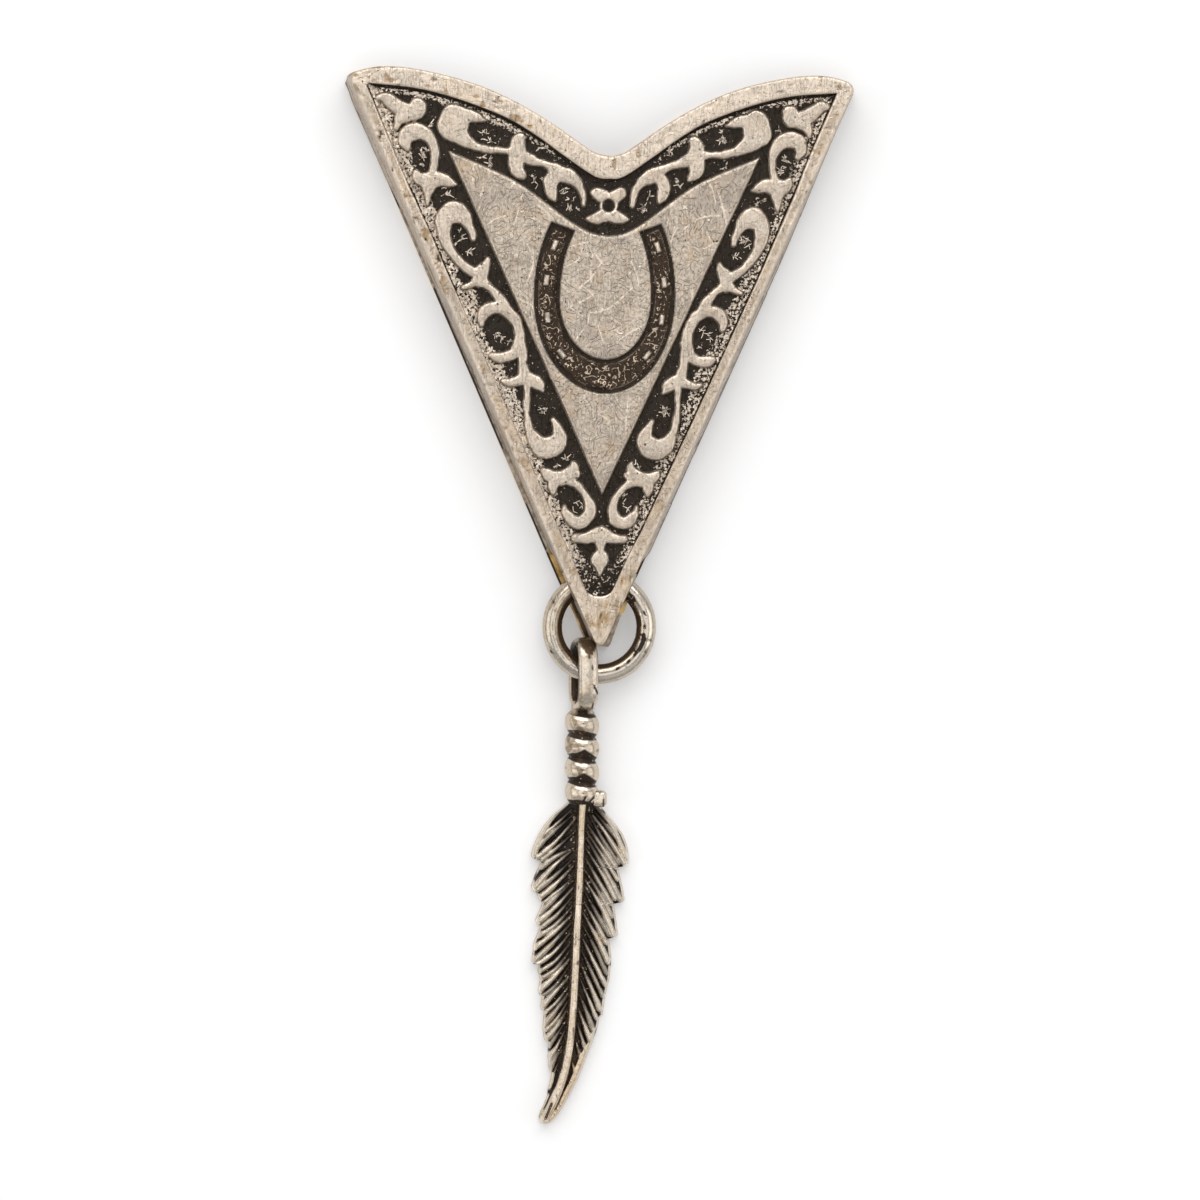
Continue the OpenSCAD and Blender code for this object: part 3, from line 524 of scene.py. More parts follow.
def rimMake():
    # each station carries one closed section: up the leaning wall, over the rounded rim, down its
    # bevelled inner edge, under it and down the wall's inside; the stations close into a ring
    rows = rimStations()
    mirrored = rows[::-1][1:-1].copy()
    mirrored[:, [0, 2]] *= -1
    side = np.r_[-np.ones(len(rows)), np.ones(len(mirrored))]
    rows = np.vstack([rows, mirrored])
    base, inner = onWing(rows[:, 0:2]), onWing(rows[:, 2:4])
    y0 = base[:, 1]
    lean = rows[:, 4] * np.where(side < 0, 1, 0.8 - 0.3 * ramp(-y0, 18, 21))
    top = base + np.c_[-side * lean, np.zeros(len(rows))]
    top[:, 0] -= tipShift(y0) * (side < 0)
    spread = np.where(side < 0, 0.09 + 0.13 * ramp(y0, 6.5, 8.5) * (1 - ramp(y0, 13.4, 14.9)),
                      0.03 + 0.3 * ramp(-y0, -13, -2))
    base[:, 0] += side * spread * rows[:, 7] * (1 - ramp(-y0, 17.4, 18.6))
    inner[:, 0] += side * innerShift(y0, side < 0) * rows[:, 7] * (1 - ramp(-y0, 19, 21)) \
        - tipShift(inner[:, 1])
    run = inner - top
    width = np.linalg.norm(run, axis=1)
    run /= width[:, None]
    low, wall = rows[:, 5], rows[:, 6]
    r = np.minimum(rim["round"], width * 0.3)
    topZ = plate["rimZ"]
    columns = []          # offset from the top's outer edge, share of the lean, height, shine

    def column(offset, leanShare, z, shine):
        columns.append((offset + 0 * width, leanShare, z + 0 * width, shine))

    # the wall: painted shade at its foot, deeper on the right side and fading within the lowest
    # quarter of its height, and a little painted highlight near its top
    foot = np.where(side < 0, 0.55, 0.3)
    for share in np.linspace(0, 1, 15):
        stripe = sum(depth * hill(share, at, wide) for at, wide, depth in rim["stripes"])
        column(0, (1 - share) ** 1.6, low + (topZ - r - low) * share,
               foot + (0.95 - foot) * ramp(share, 0, 0.25) + 0.12 * ramp(share, 0.6, 1)
               - stripe * ramp(speckle(y0, 0 * y0 + 9 * share, 2.5, 16), 0.25, 0.6))
    # the rounded edge, with a painted highlight that grows towards the top
    for angle in np.linspace(0, 90, 8)[1:]:
        a = np.radians(angle)
        column(r * (1 - np.cos(a)), 0, topZ - r + r * np.sin(a), 1.09 + 0.12 * np.sin(a))
    band = rows[:, 7] * ramp(-y0, -15, -13) * (1 - 0.8 * ramp(-y0, 19.5, 21))
    for share in np.linspace(0, 1, 12)[1:]:
        column(r + (width - rim["bevel"] - r) * share, 0, topZ,
               1.17 - 0.09 * band * ramp(share, 0, 0.4))
    # the bevelled inner edge, with a line of painted highlight that is brightest along its lower
    # edge
    for share in (0.35, 0.7, 1.0):
        column(width - rim["bevel"] * (1 - share * 0.8), 0,
               topZ - rim["bevelDrop"] * share ** 1.5, 1.2 + 0.35 * share)
    clean = ramp(y0, 6.5, 8.5) * (side < 0) * rows[:, 7]
    column(width, 0, rim["bevelFoot"], 0.3 + 0.3 * band + 0.5 * clean)
    column(width + 0.03, 0, rim["innerFoot"], 0.1 * band + 0.8 * clean)
    column(width + 0.03, 0, plate["pocketZ"], 0.0)
    column(wall - rows[:, 4], 0, plate["pocketZ"] - 0.005, 0.1)
    column(wall - rows[:, 4], 0, low, 0.1)
    offset = np.stack([c[0] for c in columns], 1)
    leanShare = np.array([c[1] for c in columns])
    z = np.stack([c[2] for c in columns], 1)
    shine = np.stack([c[3] + 0 * width for c in columns], 1)
    flat = top[:, None, :] * (1 - leanShare)[None, :, None] + base[:, None, :] * leanShare[
        None, :, None] + run[:, None, :] * offset[..., None]
    x, y = flat[..., 0], flat[..., 1]
    onTop = z > topZ - 0.12
    dents = ramp(speckle(x, y, 0.45, 13), 0.78, 0.95)
    z = z - np.where(onTop, rim["wave"] * grit(x, y, 1.3, 11) + rim["dent"] * dents, 0)
    crease = hill(x, -0.08, 0.1) * ramp(-y, 20.7, 21.2)
    z = z - np.where(onTop, 0.08 * crease, 0)
    dots = np.minimum(np.hypot(x, y + 21.8), np.hypot(x, y + 23.1))
    shine = shine - np.where(onTop, 0.45 * crease * ramp(speckle(x, y, 0.35, 5), 0.35, 0.8)
                             + 0.8 * (1 - ramp(dots, 0.06, 0.15)), 0)
    streak = speckle(x + y * 0.15, z * 2 + x, 0.35, 21) * 0.6 \
        + speckle(x * 0.3, z * 3, 0.3, 22) * 0.4
    onWall = ramp(topZ - 0.2 - z, 0, 0.15)
    shine = shine * (1 - onWall * (0.45 * ramp(streak, 0.56, 0.72)))
    pit = ramp(speckle(x, y, 0.3, 14), 0.86, 0.95) * ramp(speckle(x, y, 1.7, 15), 0.4, 0.6)
    pit = np.maximum(pit, 1 - ramp(np.hypot(x + 0.08, y + 21.75), 0.05, 0.12))
    rust = ramp(speckle(x, y * 1.3, 0.42, 17), 0.74, 0.88) * ramp(speckle(x, y, 2.4, 18), 0.45, 0.6)
    rust = rust * onTop * (0.4 + 0.6 * ramp(y, -14, 8))
    shine = shine - np.where(onTop, 0.75 * pit, 0) - 0.5 * rust
    z = z - np.where(onTop, 0.04 * pit + 0.03 * rust, 0)
    stainAndReflection = 0.4 * ramp(grit(x, y, 1.7, 9), 0.5, 0.72) + 0.12 + 0.12 * onWall + np.where(
        onTop, (0.16 * band + 0.34 * ramp(-y0, 19.5, 21))[:, None], 0)
    stainAndReflection = stainAndReflection + 0.9 * ramp(-y, 20.4, 20.8) * hill(x, -0.05, 0.55) * ramp(
        speckle(x, y, 0.5, 8), 0.3, 0.8)
    stainAndReflection = stainAndReflection + 0.8 * rust
    platePiece("rim_casting", stacked(x, y, z), [gridFaces(*x.shape, True, True)],
               {"shine": shine, "stainAndReflection": stainAndReflection})


rimMake()
print("rim made")


def plug(name, outline, low, high):
    # an upright block on a closed outline
    outline = np.asarray(outline, float)
    n = len(outline)
    points = np.vstack([np.c_[outline, np.full(n, low)], np.c_[outline, np.full(n, high)]])
    ring = np.arange(n)
    sides = np.stack([ring, (ring + 1) % n, (ring + 1) % n + n, ring + n], 1)
    platePiece(name, points, [sides, [ring[::-1]], [ring + n]],
               {"shine": np.full(2 * n, 0.35), "stainAndReflection": np.zeros(2 * n)}, False)


def arc(radius, fromDegrees, toDegrees, count=14):
    # points about the ring's middle
    a = np.radians(np.linspace(fromDegrees, toDegrees, count))
    return np.c_[radius * np.cos(a), ringAt["y"] + radius * np.sin(a)]


# the blocks' heights, and the radii about the ring's middle where they end
plugs = {"low": plate["baseZ"], "high": 2.62, "above": 4.17, "within": 2.4}
plug("point_block", np.vstack([[[-2.5, -17.5]], arc(plugs["above"], 122, 58), [[2.4, -17.5]]]),
     plugs["low"], plugs["high"])
plug("point_post", np.vstack([arc(plugs["within"], 128, 52), [[0.5, -23.7], [0.2, -23.9],
                                                             [-0.2, -23.9], [-0.5, -23.7]]]),
     plugs["low"], plugs["high"])

# the sunk field; strokes of the left half: x, y, half width at each turn of the middle line
scrolls = [
    [[-15.6, 13.8, 0.18], [-15.15, 13.78, 0.33], [-14.5, 13.3, 0.45], [-13.8, 12.9, 0.5]],
    [[-12.7, 13.4, 0.25], [-13, 13.3, 0.5], [-13.05, 12.85, 0.5], [-13.6, 12.8, 0.45]],
    [[-13.2, 12.85, 0.42], [-13.9, 12.6, 0.45], [-14.25, 12.2, 0.25], [-14.4, 11.7, 0.08]],
    [[-13.6, 10.3, 0.18], [-13.8, 10.7, 0.33], [-13.65, 11.25, 0.48], [-13.1, 11.5, 0.55],
     [-12.5, 11.35, 0.46], [-12.05, 10.9, 0.34], [-11.77, 10.2, 0.22], [-11.78, 9.5, 0.17],
     [-11.88, 8.9, 0.2], [-12, 8.4, 0.35]],
    [[-13.05, 8.72, 0.08], [-12.7, 8.2, 0.4], [-12, 8.12, 0.52], [-11.35, 8.22, 0.46],
     [-10.85, 8.05, 0.3], [-10.35, 7.88, 0.05]],
    [[-12.3, 8.1, 0.55], [-12.15, 7.65, 0.42], [-12.17, 7.2, 0.24], [-12.2, 6.8, 0.15],
     [-12.22, 6.4, 0.03]],
    [[-9.08, 4.1, 0.16], [-9.15, 4.5, 0.2], [-9.4, 5.05, 0.27], [-9.8, 5.65, 0.5],
     [-10.4, 5.95, 0.75], [-10.95, 5.6, 0.6], [-11.1, 5, 0.5], [-11.05, 4.4, 0.38],
     [-10.85, 3.75, 0.3], [-10.45, 3.1, 0.27], [-9.95, 2.5, 0.26], [-9.45, 2.1, 0.26],
     [-8.9, 1.75, 0.3]],
    [[-8.1, 2.7, 0.14], [-8.2, 2.35, 0.26], [-8.5, 1.9, 0.42], [-8.6, 1.4, 0.42],
     [-8.55, 1.05, 0.3]],
    [[-8.8, 1.2, 0.3], [-9.15, 0.95, 0.18], [-9.7, 0.7, 0.1]],
    [[-8.35, 1.1, 0.3], [-7.9, 0.8, 0.22], [-7.5, 0.4, 0.24], [-7.15, -0.1, 0.32],
     [-6.85, -0.6, 0.35]],
    [[-8.4, -1.8, 0.12], [-8.42, -1.35, 0.3], [-8.15, -0.85, 0.42], [-7.6, -0.6, 0.38],
     [-7, -0.65, 0.4], [-6.4, -1.15, 0.35], [-6, -1.8, 0.3], [-5.85, -2.5, 0.33],
     [-5.85, -3.2, 0.4], [-6.15, -3.75, 0.35], [-6.7, -4.05, 0.33], [-7.3, -4.1, 0.32],
     [-7.75, -3.95, 0.15]],
    [[-5.85, -3.3, 0.4], [-5.65, -3.9, 0.28], [-5.6, -4.5, 0.25], [-5.5, -5, 0.35],
     [-5.4, -5.45, 0.42]],
    [[-6.95, -5.72, 0.08], [-6.5, -5.82, 0.22], [-6, -5.72, 0.28], [-5.4, -5.5, 0.42],
     [-4.9, -5.6, 0.42], [-4.55, -5.85, 0.4], [-4.35, -6.15, 0.2], [-4.2, -6.35, 0.08]],
    [[-5.25, -5.9, 0.2], [-5.25, -6.6, 0.15], [-5.27, -7.6, 0.15], [-5.15, -8.5, 0.2],
     [-4.95, -9.2, 0.3], [-4.55, -9.9, 0.5], [-3.95, -10.3, 0.7], [-3.35, -10.15, 0.7],
     [-3, -9.65, 0.5], [-3.1, -9.05, 0.3], [-3.3, -8.6, 0.16], [-3.45, -8.35, 0.12]],
    [[-4.05, -11.8, 0.06], [-3.8, -12.1, 0.3], [-3.3, -12.4, 0.45], [-2.75, -12.4, 0.48],
     [-2.3, -12.1, 0.42], [-1.98, -11.65, 0.28], [-2.05, -11.3, 0.1]],
    [[-2.3, -12.2, 0.4], [-1.85, -12.1, 0.27]],
    [[-3.3, -12.6, 0.4], [-3.3, -13.1, 0.25], [-3.3, -13.45, 0.08]],
    [[-2.8, -12.55, 0.3], [-2.3, -12.6, 0.25], [-1.75, -12.85, 0.2], [-1.2, -13.4, 0.22],
     [-0.85, -14.1, 0.28], [-0.8, -14.8, 0.36], [-1.2, -15.35, 0.42], [-1.75, -15.45, 0.4],
     [-2.2, -15.1, 0.33], [-2.45, -14.7, 0.18], [-2.5, -14.35, 0.08]],
    [[-10.5, 12.45, 0.95], [-10.6, 11.95, 1]],
    [[-8.4, 12.35, 0.06], [-8.9, 12.5, 0.25], [-9.5, 12.65, 0.4], [-10.3, 12.6, 0.7]],
    [[-10.5, 11.65, 0.82], [-9.82, 11, 0.47], [-9, 10.55, 0.27], [-8.2, 10.35, 0.2],
     [-7.4, 10.28, 0.18], [-6.9, 10.26, 0.22], [-6.5, 10.25, 0.4]],
    [[-5.75, 11.25, 0.08], [-6.1, 11.15, 0.33], [-6.25, 10.7, 0.5], [-6.2, 10.1, 0.55],
     [-6.3, 9.6, 0.52], [-6.25, 9.1, 0.45], [-6, 8.75, 0.3], [-5.8, 8.5, 0.1]],
    [[-5.9, 10, 0.4], [-5.4, 9.75, 0.32], [-4.9, 9.55, 0.22], [-4.2, 9.35, 0.24],
     [-3.6, 9.05, 0.42], [-3, 8.7, 0.5], [-2.45, 8.4, 0.38], [-2, 7.9, 0.25],
     [-1.75, 7.3, 0.18], [-1.68, 6.65, 0.12]],
    [[-3.5, 8.8, 0.45], [-3.85, 8.35, 0.45], [-3.97, 7.9, 0.42], [-3.85, 7.35, 0.32],
     [-3.65, 6.95, 0.1]],
    [[0, 6.95, 0.42], [-0.4, 7.2, 0.42], [-0.85, 7.5, 0.38]],
    [[0, 6.12, 0.45], [-0.5, 5.86, 0.42], [-0.95, 5.74, 0.28], [-1.38, 5.7, 0.06]],
    [[0, 6.63, 0.6], [0.01, 6.63, 0.6]],
    [[-1.68, -16.57, 0.27], [-1.1, -16.56, 0.3], [-0.5, -16.4, 0.42], [0, -16.25, 0.52]],
    [[0, -16.6, 0.42], [0, -16.95, 0.3], [0, -17.3, 0.22], [0, -17.7, 0.34], [0, -18.05, 0.58],
     [0, -18.45, 0.36], [0, -19.1, 0.03]]]
panelTop = [[0, 4.5], [-1.2, 4.72], [-2.6, 5.5], [-4, 6.55], [-6, 8], [-8, 9], [-10.8, 10.15]]
panelTip = [0, -13.45]
flowerHole = {"y": 6.63, "r": 0.43}
# horseshoe edges: centre height, half width, rise above and drop below the centre, heel angle
shoe = {"outer": (0.3, 4.92, 8.1, 6.75, 51), "inner": (0.2, 3.2, 6.54, 4.3, 45), "steps": 40,
        "depth": 0.33, "web": 0.12, "webGap": 0.35}
nails = [[-3.6, 3.8, -20], [-4.1, 1.35, -7], [-3.98, -1.25, 6], [-2.98, -3.74, 40]]  # x, y, turn
nailSize = (0.15, 0.35)          # half width, half length
field = {"cell": 0.076, "margin": 0.3, "edge": 0.07, "shoulder": 0.11, "groundWave": 0.03,
         "crumb": 0.16, "scratches": 60, "webFoot": 0.05, "lip": 0.04, "nail": 0.16,
         "sideTones": (0.72, 0.56), "notchTone": 0.66, "border": 3.1, "underside": 0.005}


def shoeOutline():
    # each edge is an oval that is taller above its centre than below; the band runs between them
    parts = []
    for centre, half, rise, drop, heel in (shoe["outer"], shoe["inner"]):
        a = np.radians(np.linspace(heel, 360 - heel, shoe["steps"]))
        tall = np.where(np.cos(a) > 0, rise, drop)
        parts.append(np.c_[-half * np.sin(a), centre + tall * np.cos(a)])
    return np.vstack([parts[0], parts[1][::-1]])


# hollows of the ground: x, y, spread, number of stars
hollows = [(-12.7, 10, 0.28, 4), (-12.6, 9.3, 0.2, 2), (-8.3, 11.5, 0.45, 5), (-4.4, 10.6, 0.3, 4),
           (-9.9, 4.3, 0.35, 5), (-9.2, 3.3, 0.3, 3), (-2.5, 6.6, 0.35, 5), (-8.2, 9.6, 0.35, 3),
           (-4.9, 8.4, 0.3, 4), (-7.2, -2.4, 0.35, 5), (-4.1, -7.6, 0.3, 5), (-2.7, -11.2, 0.3, 3),
           (-1.7, -14.2, 0.3, 3), (-3, 7.6, 0.2, 2), (-10.9, 7.2, 0.25, 3), (-7.6, -5.2, 0.2, 2),
           (-6.3, -2.9, 0.3, 2), (-12.2, 12.1, 0.2, 2), (-4.4, -11, 0.2, 2)]
# stains on the panel: x, y, reach
panelStains = [(-9.7, 9.0, 1.4), (0.4, 2.2, 1.0), (-2.4, -6.8, 0.9), (6.8, 5.0, 1.3),
               (4.2, 8.4, 0.9), (-6.0, 4.5, 0.8), (0.6, -10.2, 0.7)]
# scratches on the panel inside the horseshoe: x, y
shoeScratches = [[(-0.85, 3.2), (-0.3, 2.5), (0.1, 2.1)],
                 [(1.75, 0.95), (1.1, 0.3), (0, -0.6), (-1.2, -0.85)],
                 [(-1, 0.4), (-0.6, -0.2), (-0.25, -0.65)], [(-1.8, 1.1), (-1.4, 0.8), (-1, 0.4)],
                 [(-1.1, 0.3), (-1.8, -0.1), (-2.8, -0.6)],
                 [(-1.2, -0.8), (-1.25, -1.2), (-1.3, -1.6)],
                 [(-1.6, -2), (-1.9, -2.4), (-2.2, -2.9)],
                 [(-0.6, -1.7), (-0.4, -2.3), (-0.2, -2.9)],
                 [(0.3, -1.2), (1.1, -1.7), (2.1, -2)], [(1.6, 2.8), (2, 2), (2.2, 1.2)]]


def panelScratches():
    # long thin scratches: those in the horseshoe as drawn, the rest strewn over the panel
    drawn = list(shoeScratches)
    draw = np.random.default_rng(23)
    for _ in range(field["scratches"]):
        at = np.array([draw.uniform(-10, 10), draw.uniform(-11, 9)])
        angle, reach, bend = draw.uniform(0, np.pi), draw.uniform(0.5, 1.5), draw.normal(0, 0.15)
        run = reach * np.array([np.cos(angle), np.sin(angle)])
        aside = bend * reach * np.array([-run[1], run[0]])
        drawn.append([at - run, at + aside, at + run])
    return [[[px, py, 0.0] for px, py in line] for line in drawn]


def groundLayer(x, y, u, inRecess, fine):
    # the sunk ground: its level plus a little grit, plus a strip of crumbs along the rim, higher
    # close to the rim; u is the left half's x at the drawing's width
    z = plate["groundZ"] + field["groundWave"] * (grit(x, y, 0.5, 33) - 0.5)
    shine = 0.02 + 0.03 * speckle(x, y, 0.8, 34)
    left, fromRim = x < 0, -inRecess
    besideSides = whole([[0, 30], [-23, 30], rimSide[1], rimSide[2], rimEnd[-1]])
    byNotch = ramp(np.abs(inRecess - outlineDistance(u, y, besideSides)), 0.02, 0.3)
    fromEdge = fromRim + 0.9 * innerShift(y, left) * (1 - byNotch)
    start = 0.04 + 0.1 * byNotch - 0.09 * ramp(y, 7, 9) * (1 - byNotch)
    start = start - 0.12 * left * (1 - byNotch) * (ramp(y, 7, 9) + ramp(-y, -1, 1))
    wide = (0.95 - 0.25 * byNotch) * (0.6 + 0.8 * speckle(x, y, 1.1, 35)) + 4 * ramp(-y, 18.2, 19)
    bySides = np.where(left, *field["sideTones"]) + 0.14 * (1 - ramp(fromEdge, 0.1, 0.35))
    share = np.where(byNotch > 0.5, field["notchTone"] * ramp(-u, 2.6, 4.2), bySides)
    share = share - (0.36 - 0.06 * ramp(x, -0.2, 0.3)) * ramp(-y, 17.9, 18.7)
    crumb = ramp(fromEdge, start, start + 0.08) * (1 - ramp(fromRim, wide - 0.3, wide + 0.15))
    crumb = crumb * share
    z = z + field["crumb"] * crumb * (0.3 + 0.7 * fine)
    z = z + (0.12 + 0.12 * ramp(y, 6, 8.5) * left) * (1 - ramp(fromEdge, 0, 0.4)) * (1 - byNotch)
    return z, shine, crumb


def reliefLayer(x, y, u, panel, z, shine, crumb):
    # scrolls: the relief's height less a shoulder that dies away inwards from each stroke's edge;
    # then the panel: the same height less a bevel along its edge and a little grit
    edge, shoulder = field["edge"], field["shoulder"]
    scroll = strokeDistance(u, y, scrolls)
    scroll = scroll - 0.05 + 0.12 * (speckle(x, y, 0.75, 37) - 0.5) \
        + 0.06 * (speckle(x, y, 0.3, 38) - 0.5)
    scroll = np.maximum(scroll, flowerHole["r"] - np.hypot(u, y - flowerHole["y"]))
    top = plate["reliefZ"] - 0.11 * np.exp(np.minimum(scroll, 0) / shoulder)
    rise = 1 - ramp(scroll, -edge * 0.6, edge * 1.1)
    z = z + (top - z) * rise
    # scroll tops, with a painted highlight along each scroll's edge
    shine = shine * (1 - rise) + (1.12 + 0.2 * ramp(scroll, -0.2, -0.07)) * rise
    crumb = crumb * (1 - rise)
    rise = 1 - ramp(panel, -0.02, 0.1)
    top = plate["reliefZ"] + 0.01 - 0.09 * ramp(panel, -0.2, -0.02) - 0.02 * grit(x, y, 2.2, 41)
    z = z + (top - z) * rise
    # panel top, with a painted highlight along its bevelled edge
    shine = np.where(rise > 0.02, shine * (1 - rise) + rise * (
        0.96 + 0.22 * ramp(panel, -0.22, -0.08)), shine)
    return z, shine, crumb * (1 - rise)


def shoeLayer(x, y, u, panel, coarse, z, shine):
    # the horseshoe's channel: its depth taken off the panel inside the band, then the web, the lip
    # and the nails added back on its floor
    band = outlineDistance(u, y, shoeOutline())
    cut = (1 - ramp(band, -0.04, 0.05)) * (panel < -0.02)
    z = z - shoe["depth"] * cut
    web = ramp(-band, shoe["webGap"] - 0.05, shoe["webGap"] + 0.08)
    z = z + cut * web * (field["webFoot"] + shoe["web"] * coarse)
    lip = hill(band, -0.31, 0.05)
    channel = 0.5 * lip * ramp(speckle(x, y, 0.7, 53), 0.25, 0.65)
    z = z + cut * field["lip"] * lip
    nailed = 0 * x
    for nx, ny, turn in nails:
        a = np.radians(turn)
        along = np.abs(-(u - nx) * np.sin(a) + (y - ny) * np.cos(a)) - nailSize[1]
        across = np.abs((u - nx) * np.cos(a) + (y - ny) * np.sin(a)) - nailSize[0]
        nail = 1 - ramp(np.maximum(along, across), -0.05, 0.06)
        z = z + cut * field["nail"] * nail
        channel = channel + (1.2 - channel) * nail
        web = web * ramp(np.maximum(along, across), 0.06, 0.16)
        nailed = np.maximum(nailed, nail)
    return z, shine * (1 - cut) + channel * cut, cut, web, nailed


def fieldMake():
    # height over a square grid of points, kept where it lies inside the rim: the ground, blended
    # into the relief and lowered by the channel
    x, y = np.meshgrid(np.arange(-17.2, 16.2, field["cell"]), np.arange(-21, 15.3, field["cell"]),
                       indexing="ij")
    wing = np.where(x < 0, plate["outerWing"], plate["innerWing"])
    u = -np.abs(x) * plate["drawnWing"] / wing
    recess = whole(np.vstack([smoothLine(rimNotch, 6)[:-1], rimSide[0:1], rimSide[1:2],
                              smoothLine(rimEnd, 4)]))
    inRecess = outlineDistance(u, y, recess)
    panel = outlineDistance(u, y, whole(np.vstack([smoothLine(panelTop, 6), [panelTip]])))
    fine, coarse = speckle(x, y, 0.2, 31), speckle(x, y, 0.5, 32)
    z, shine, crumb = groundLayer(x, y, u, inRecess, fine)
    z, shine, crumb = reliefLayer(x, y, u, panel, z, shine, crumb)
    z, shine, cut, web, nailed = shoeLayer(x, y, u, panel, coarse, z, shine)
    stained = sum(0.45 * np.exp(-((x - sx) ** 2 + (y - sy) ** 2) / reach ** 2)
                  for sx, sy, reach in panelStains)
    stained = stained * ramp(grit(x, y, 0.8, 57), 0.35, 0.7)
    shine = shine + 0.34 * hill(strokeDistance(x, y, panelScratches(), 0.3), 0, 0.055) \
        * ramp(-panel, 0.05, 0.15) * (1 - cut) * ramp(speckle(x, y, 0.5, 58), 0.1, 0.5)
    inside = ramp(inRecess, 0.22, 0.28)          # the border dips under the rim
    z, shine = z * (1 - inside) + field["border"] * inside, shine * (1 - inside)
    stainAndReflection = cut * (0.25 + 0.6 * web) * (1 - nailed) + 0.1 * coarse + stained
    crumb = crumb * (1 - inside) + 0.16 * cut * web * (1 - nailed)
    maskedSheet("scroll_field", x - tipShift(y), y, z, inRecess < field["margin"],
                plate["pocketZ"] + field["underside"],
                {"shine": shine, "stainAndReflection": stainAndReflection, "crumb": crumb, "web": cut * web})


def maskedSheet(name, x, y, z, keep, low, attributes):
    # cells whose four corners are kept make the sheet; a skirt under its border and a flat
    # underside close it
    cell = keep[:-1, :-1] & keep[1:, :-1] & keep[1:, 1:] & keep[:-1, 1:]
    i, j = np.nonzero(cell)
    columns = keep.shape[1]
    quads = np.stack([i * columns + j, (i + 1) * columns + j, (i + 1) * columns + j + 1,
                      i * columns + j + 1], 1)
    pad = np.pad(cell, 1)
    skirts = []
    for (di, dj), (a, b) in {(0, -1): (0, 1), (1, 0): (1, 2), (0, 1): (2, 3),
                             (-1, 0): (3, 0)}.items():
        onBorder = ~pad[i + 1 + di, j + 1 + dj]
        skirts.append(quads[onBorder][:, [a, b]])
    skirts = np.vstack(skirts)
    used, place = np.unique(quads, return_inverse=True)
    quads = place.reshape(quads.shape)
    lookup = np.full(keep.size, -1)
    lookup[used] = np.arange(len(used))
    skirts = lookup[skirts]
    border, under = np.unique(skirts, return_inverse=True)
    under = under.reshape(skirts.shape) + len(used)
    points = np.stack([x.ravel()[used], y.ravel()[used], z.ravel()[used]], 1)
    lower = points[border].copy()
    lower[:, 2] = low
    walls = np.c_[skirts[:, 1], skirts[:, 0], under[:, 0], under[:, 1]]
    values = {key: np.r_[value.ravel()[used], np.zeros(len(border))]
              for key, value in attributes.items()}
    platePiece(name, np.vstack([points, lower]), [quads, walls], values, fill=True)


fieldMake()


flecks = {"spread": 0.75, "arms": (2, 6), "reach": (0.1, 0.42), "halfWidth": (0.025, 0.045),
          "foot": -0.05, "top": 0.06, "tones": (0.2, 1.4)}


def fleckMake():
    # stars of fine raised strokes in the hollows, each stroke a slim block, drawn for each wing
    draw = np.random.default_rng(7)
    strokes = []
    for wing in (-1, 1):
        for cx, cy, spread, count in hollows:
            for _ in range(count):
                at = np.array([cx, cy]) + draw.normal(0, spread * flecks["spread"], 2)
                arms = draw.integers(*flecks["arms"])
                for angle in draw.uniform(0, 2 * np.pi, arms):
                    reach = draw.uniform(*flecks["reach"])
                    strokes.append([*at, angle, reach, draw.uniform(*flecks["halfWidth"]), wing])
    s = np.array(strokes)
    end = s[:, 0:2] + s[:, 3:4] * np.c_[np.cos(s[:, 2]), np.sin(s[:, 2])]
    aside = s[:, 4:5] * np.c_[-np.sin(s[:, 2]), np.cos(s[:, 2])]
    feet = np.stack([s[:, 0:2] - aside, end - aside * 0.5, end + aside * 0.5, s[:, 0:2] + aside], 1)
    wing = np.where(s[:, 5] < 0, plate["outerWing"], plate["innerWing"]) / plate["drawnWing"]
    feet[:, :, 0] *= (-s[:, 5] * wing)[:, None]
    feet[:, :, 0] -= tipShift(feet[:, :, 1])
    count = len(s)
    layers = [np.concatenate([feet, np.full((count, 4, 1), plate["groundZ"] + flecks[level])], 2)
              for level in ("foot", "top")]
    points = np.concatenate(layers, 1).reshape(-1, 3)
    block = np.array([[3, 2, 1, 0], [4, 5, 6, 7], [0, 1, 5, 4], [1, 2, 6, 5], [2, 3, 7, 6],
                      [3, 0, 4, 7]])
    faces = (block[None] + 8 * np.arange(count)[:, None, None]).reshape(-1, 4)
    shine = np.tile(np.repeat(flecks["tones"], 4), count)
    platePiece("ground_flecks", points, [faces], {"shine": shine, "stainAndReflection": np.zeros(8 * count)},
               False)


fleckMake()
print("scrollwork made")

# painted dark reflections: angle round the ring in degrees, place across the wire from -1 inside to
# 1 outside
ring = {"around": 220, "section": 40, "seam": -14.0,
        "darkReflections": ((-48, -0.28), (-66, -0.2), (-33, -0.3), (-27, 0.5), (152, 0.6), (-152, 0.7))}


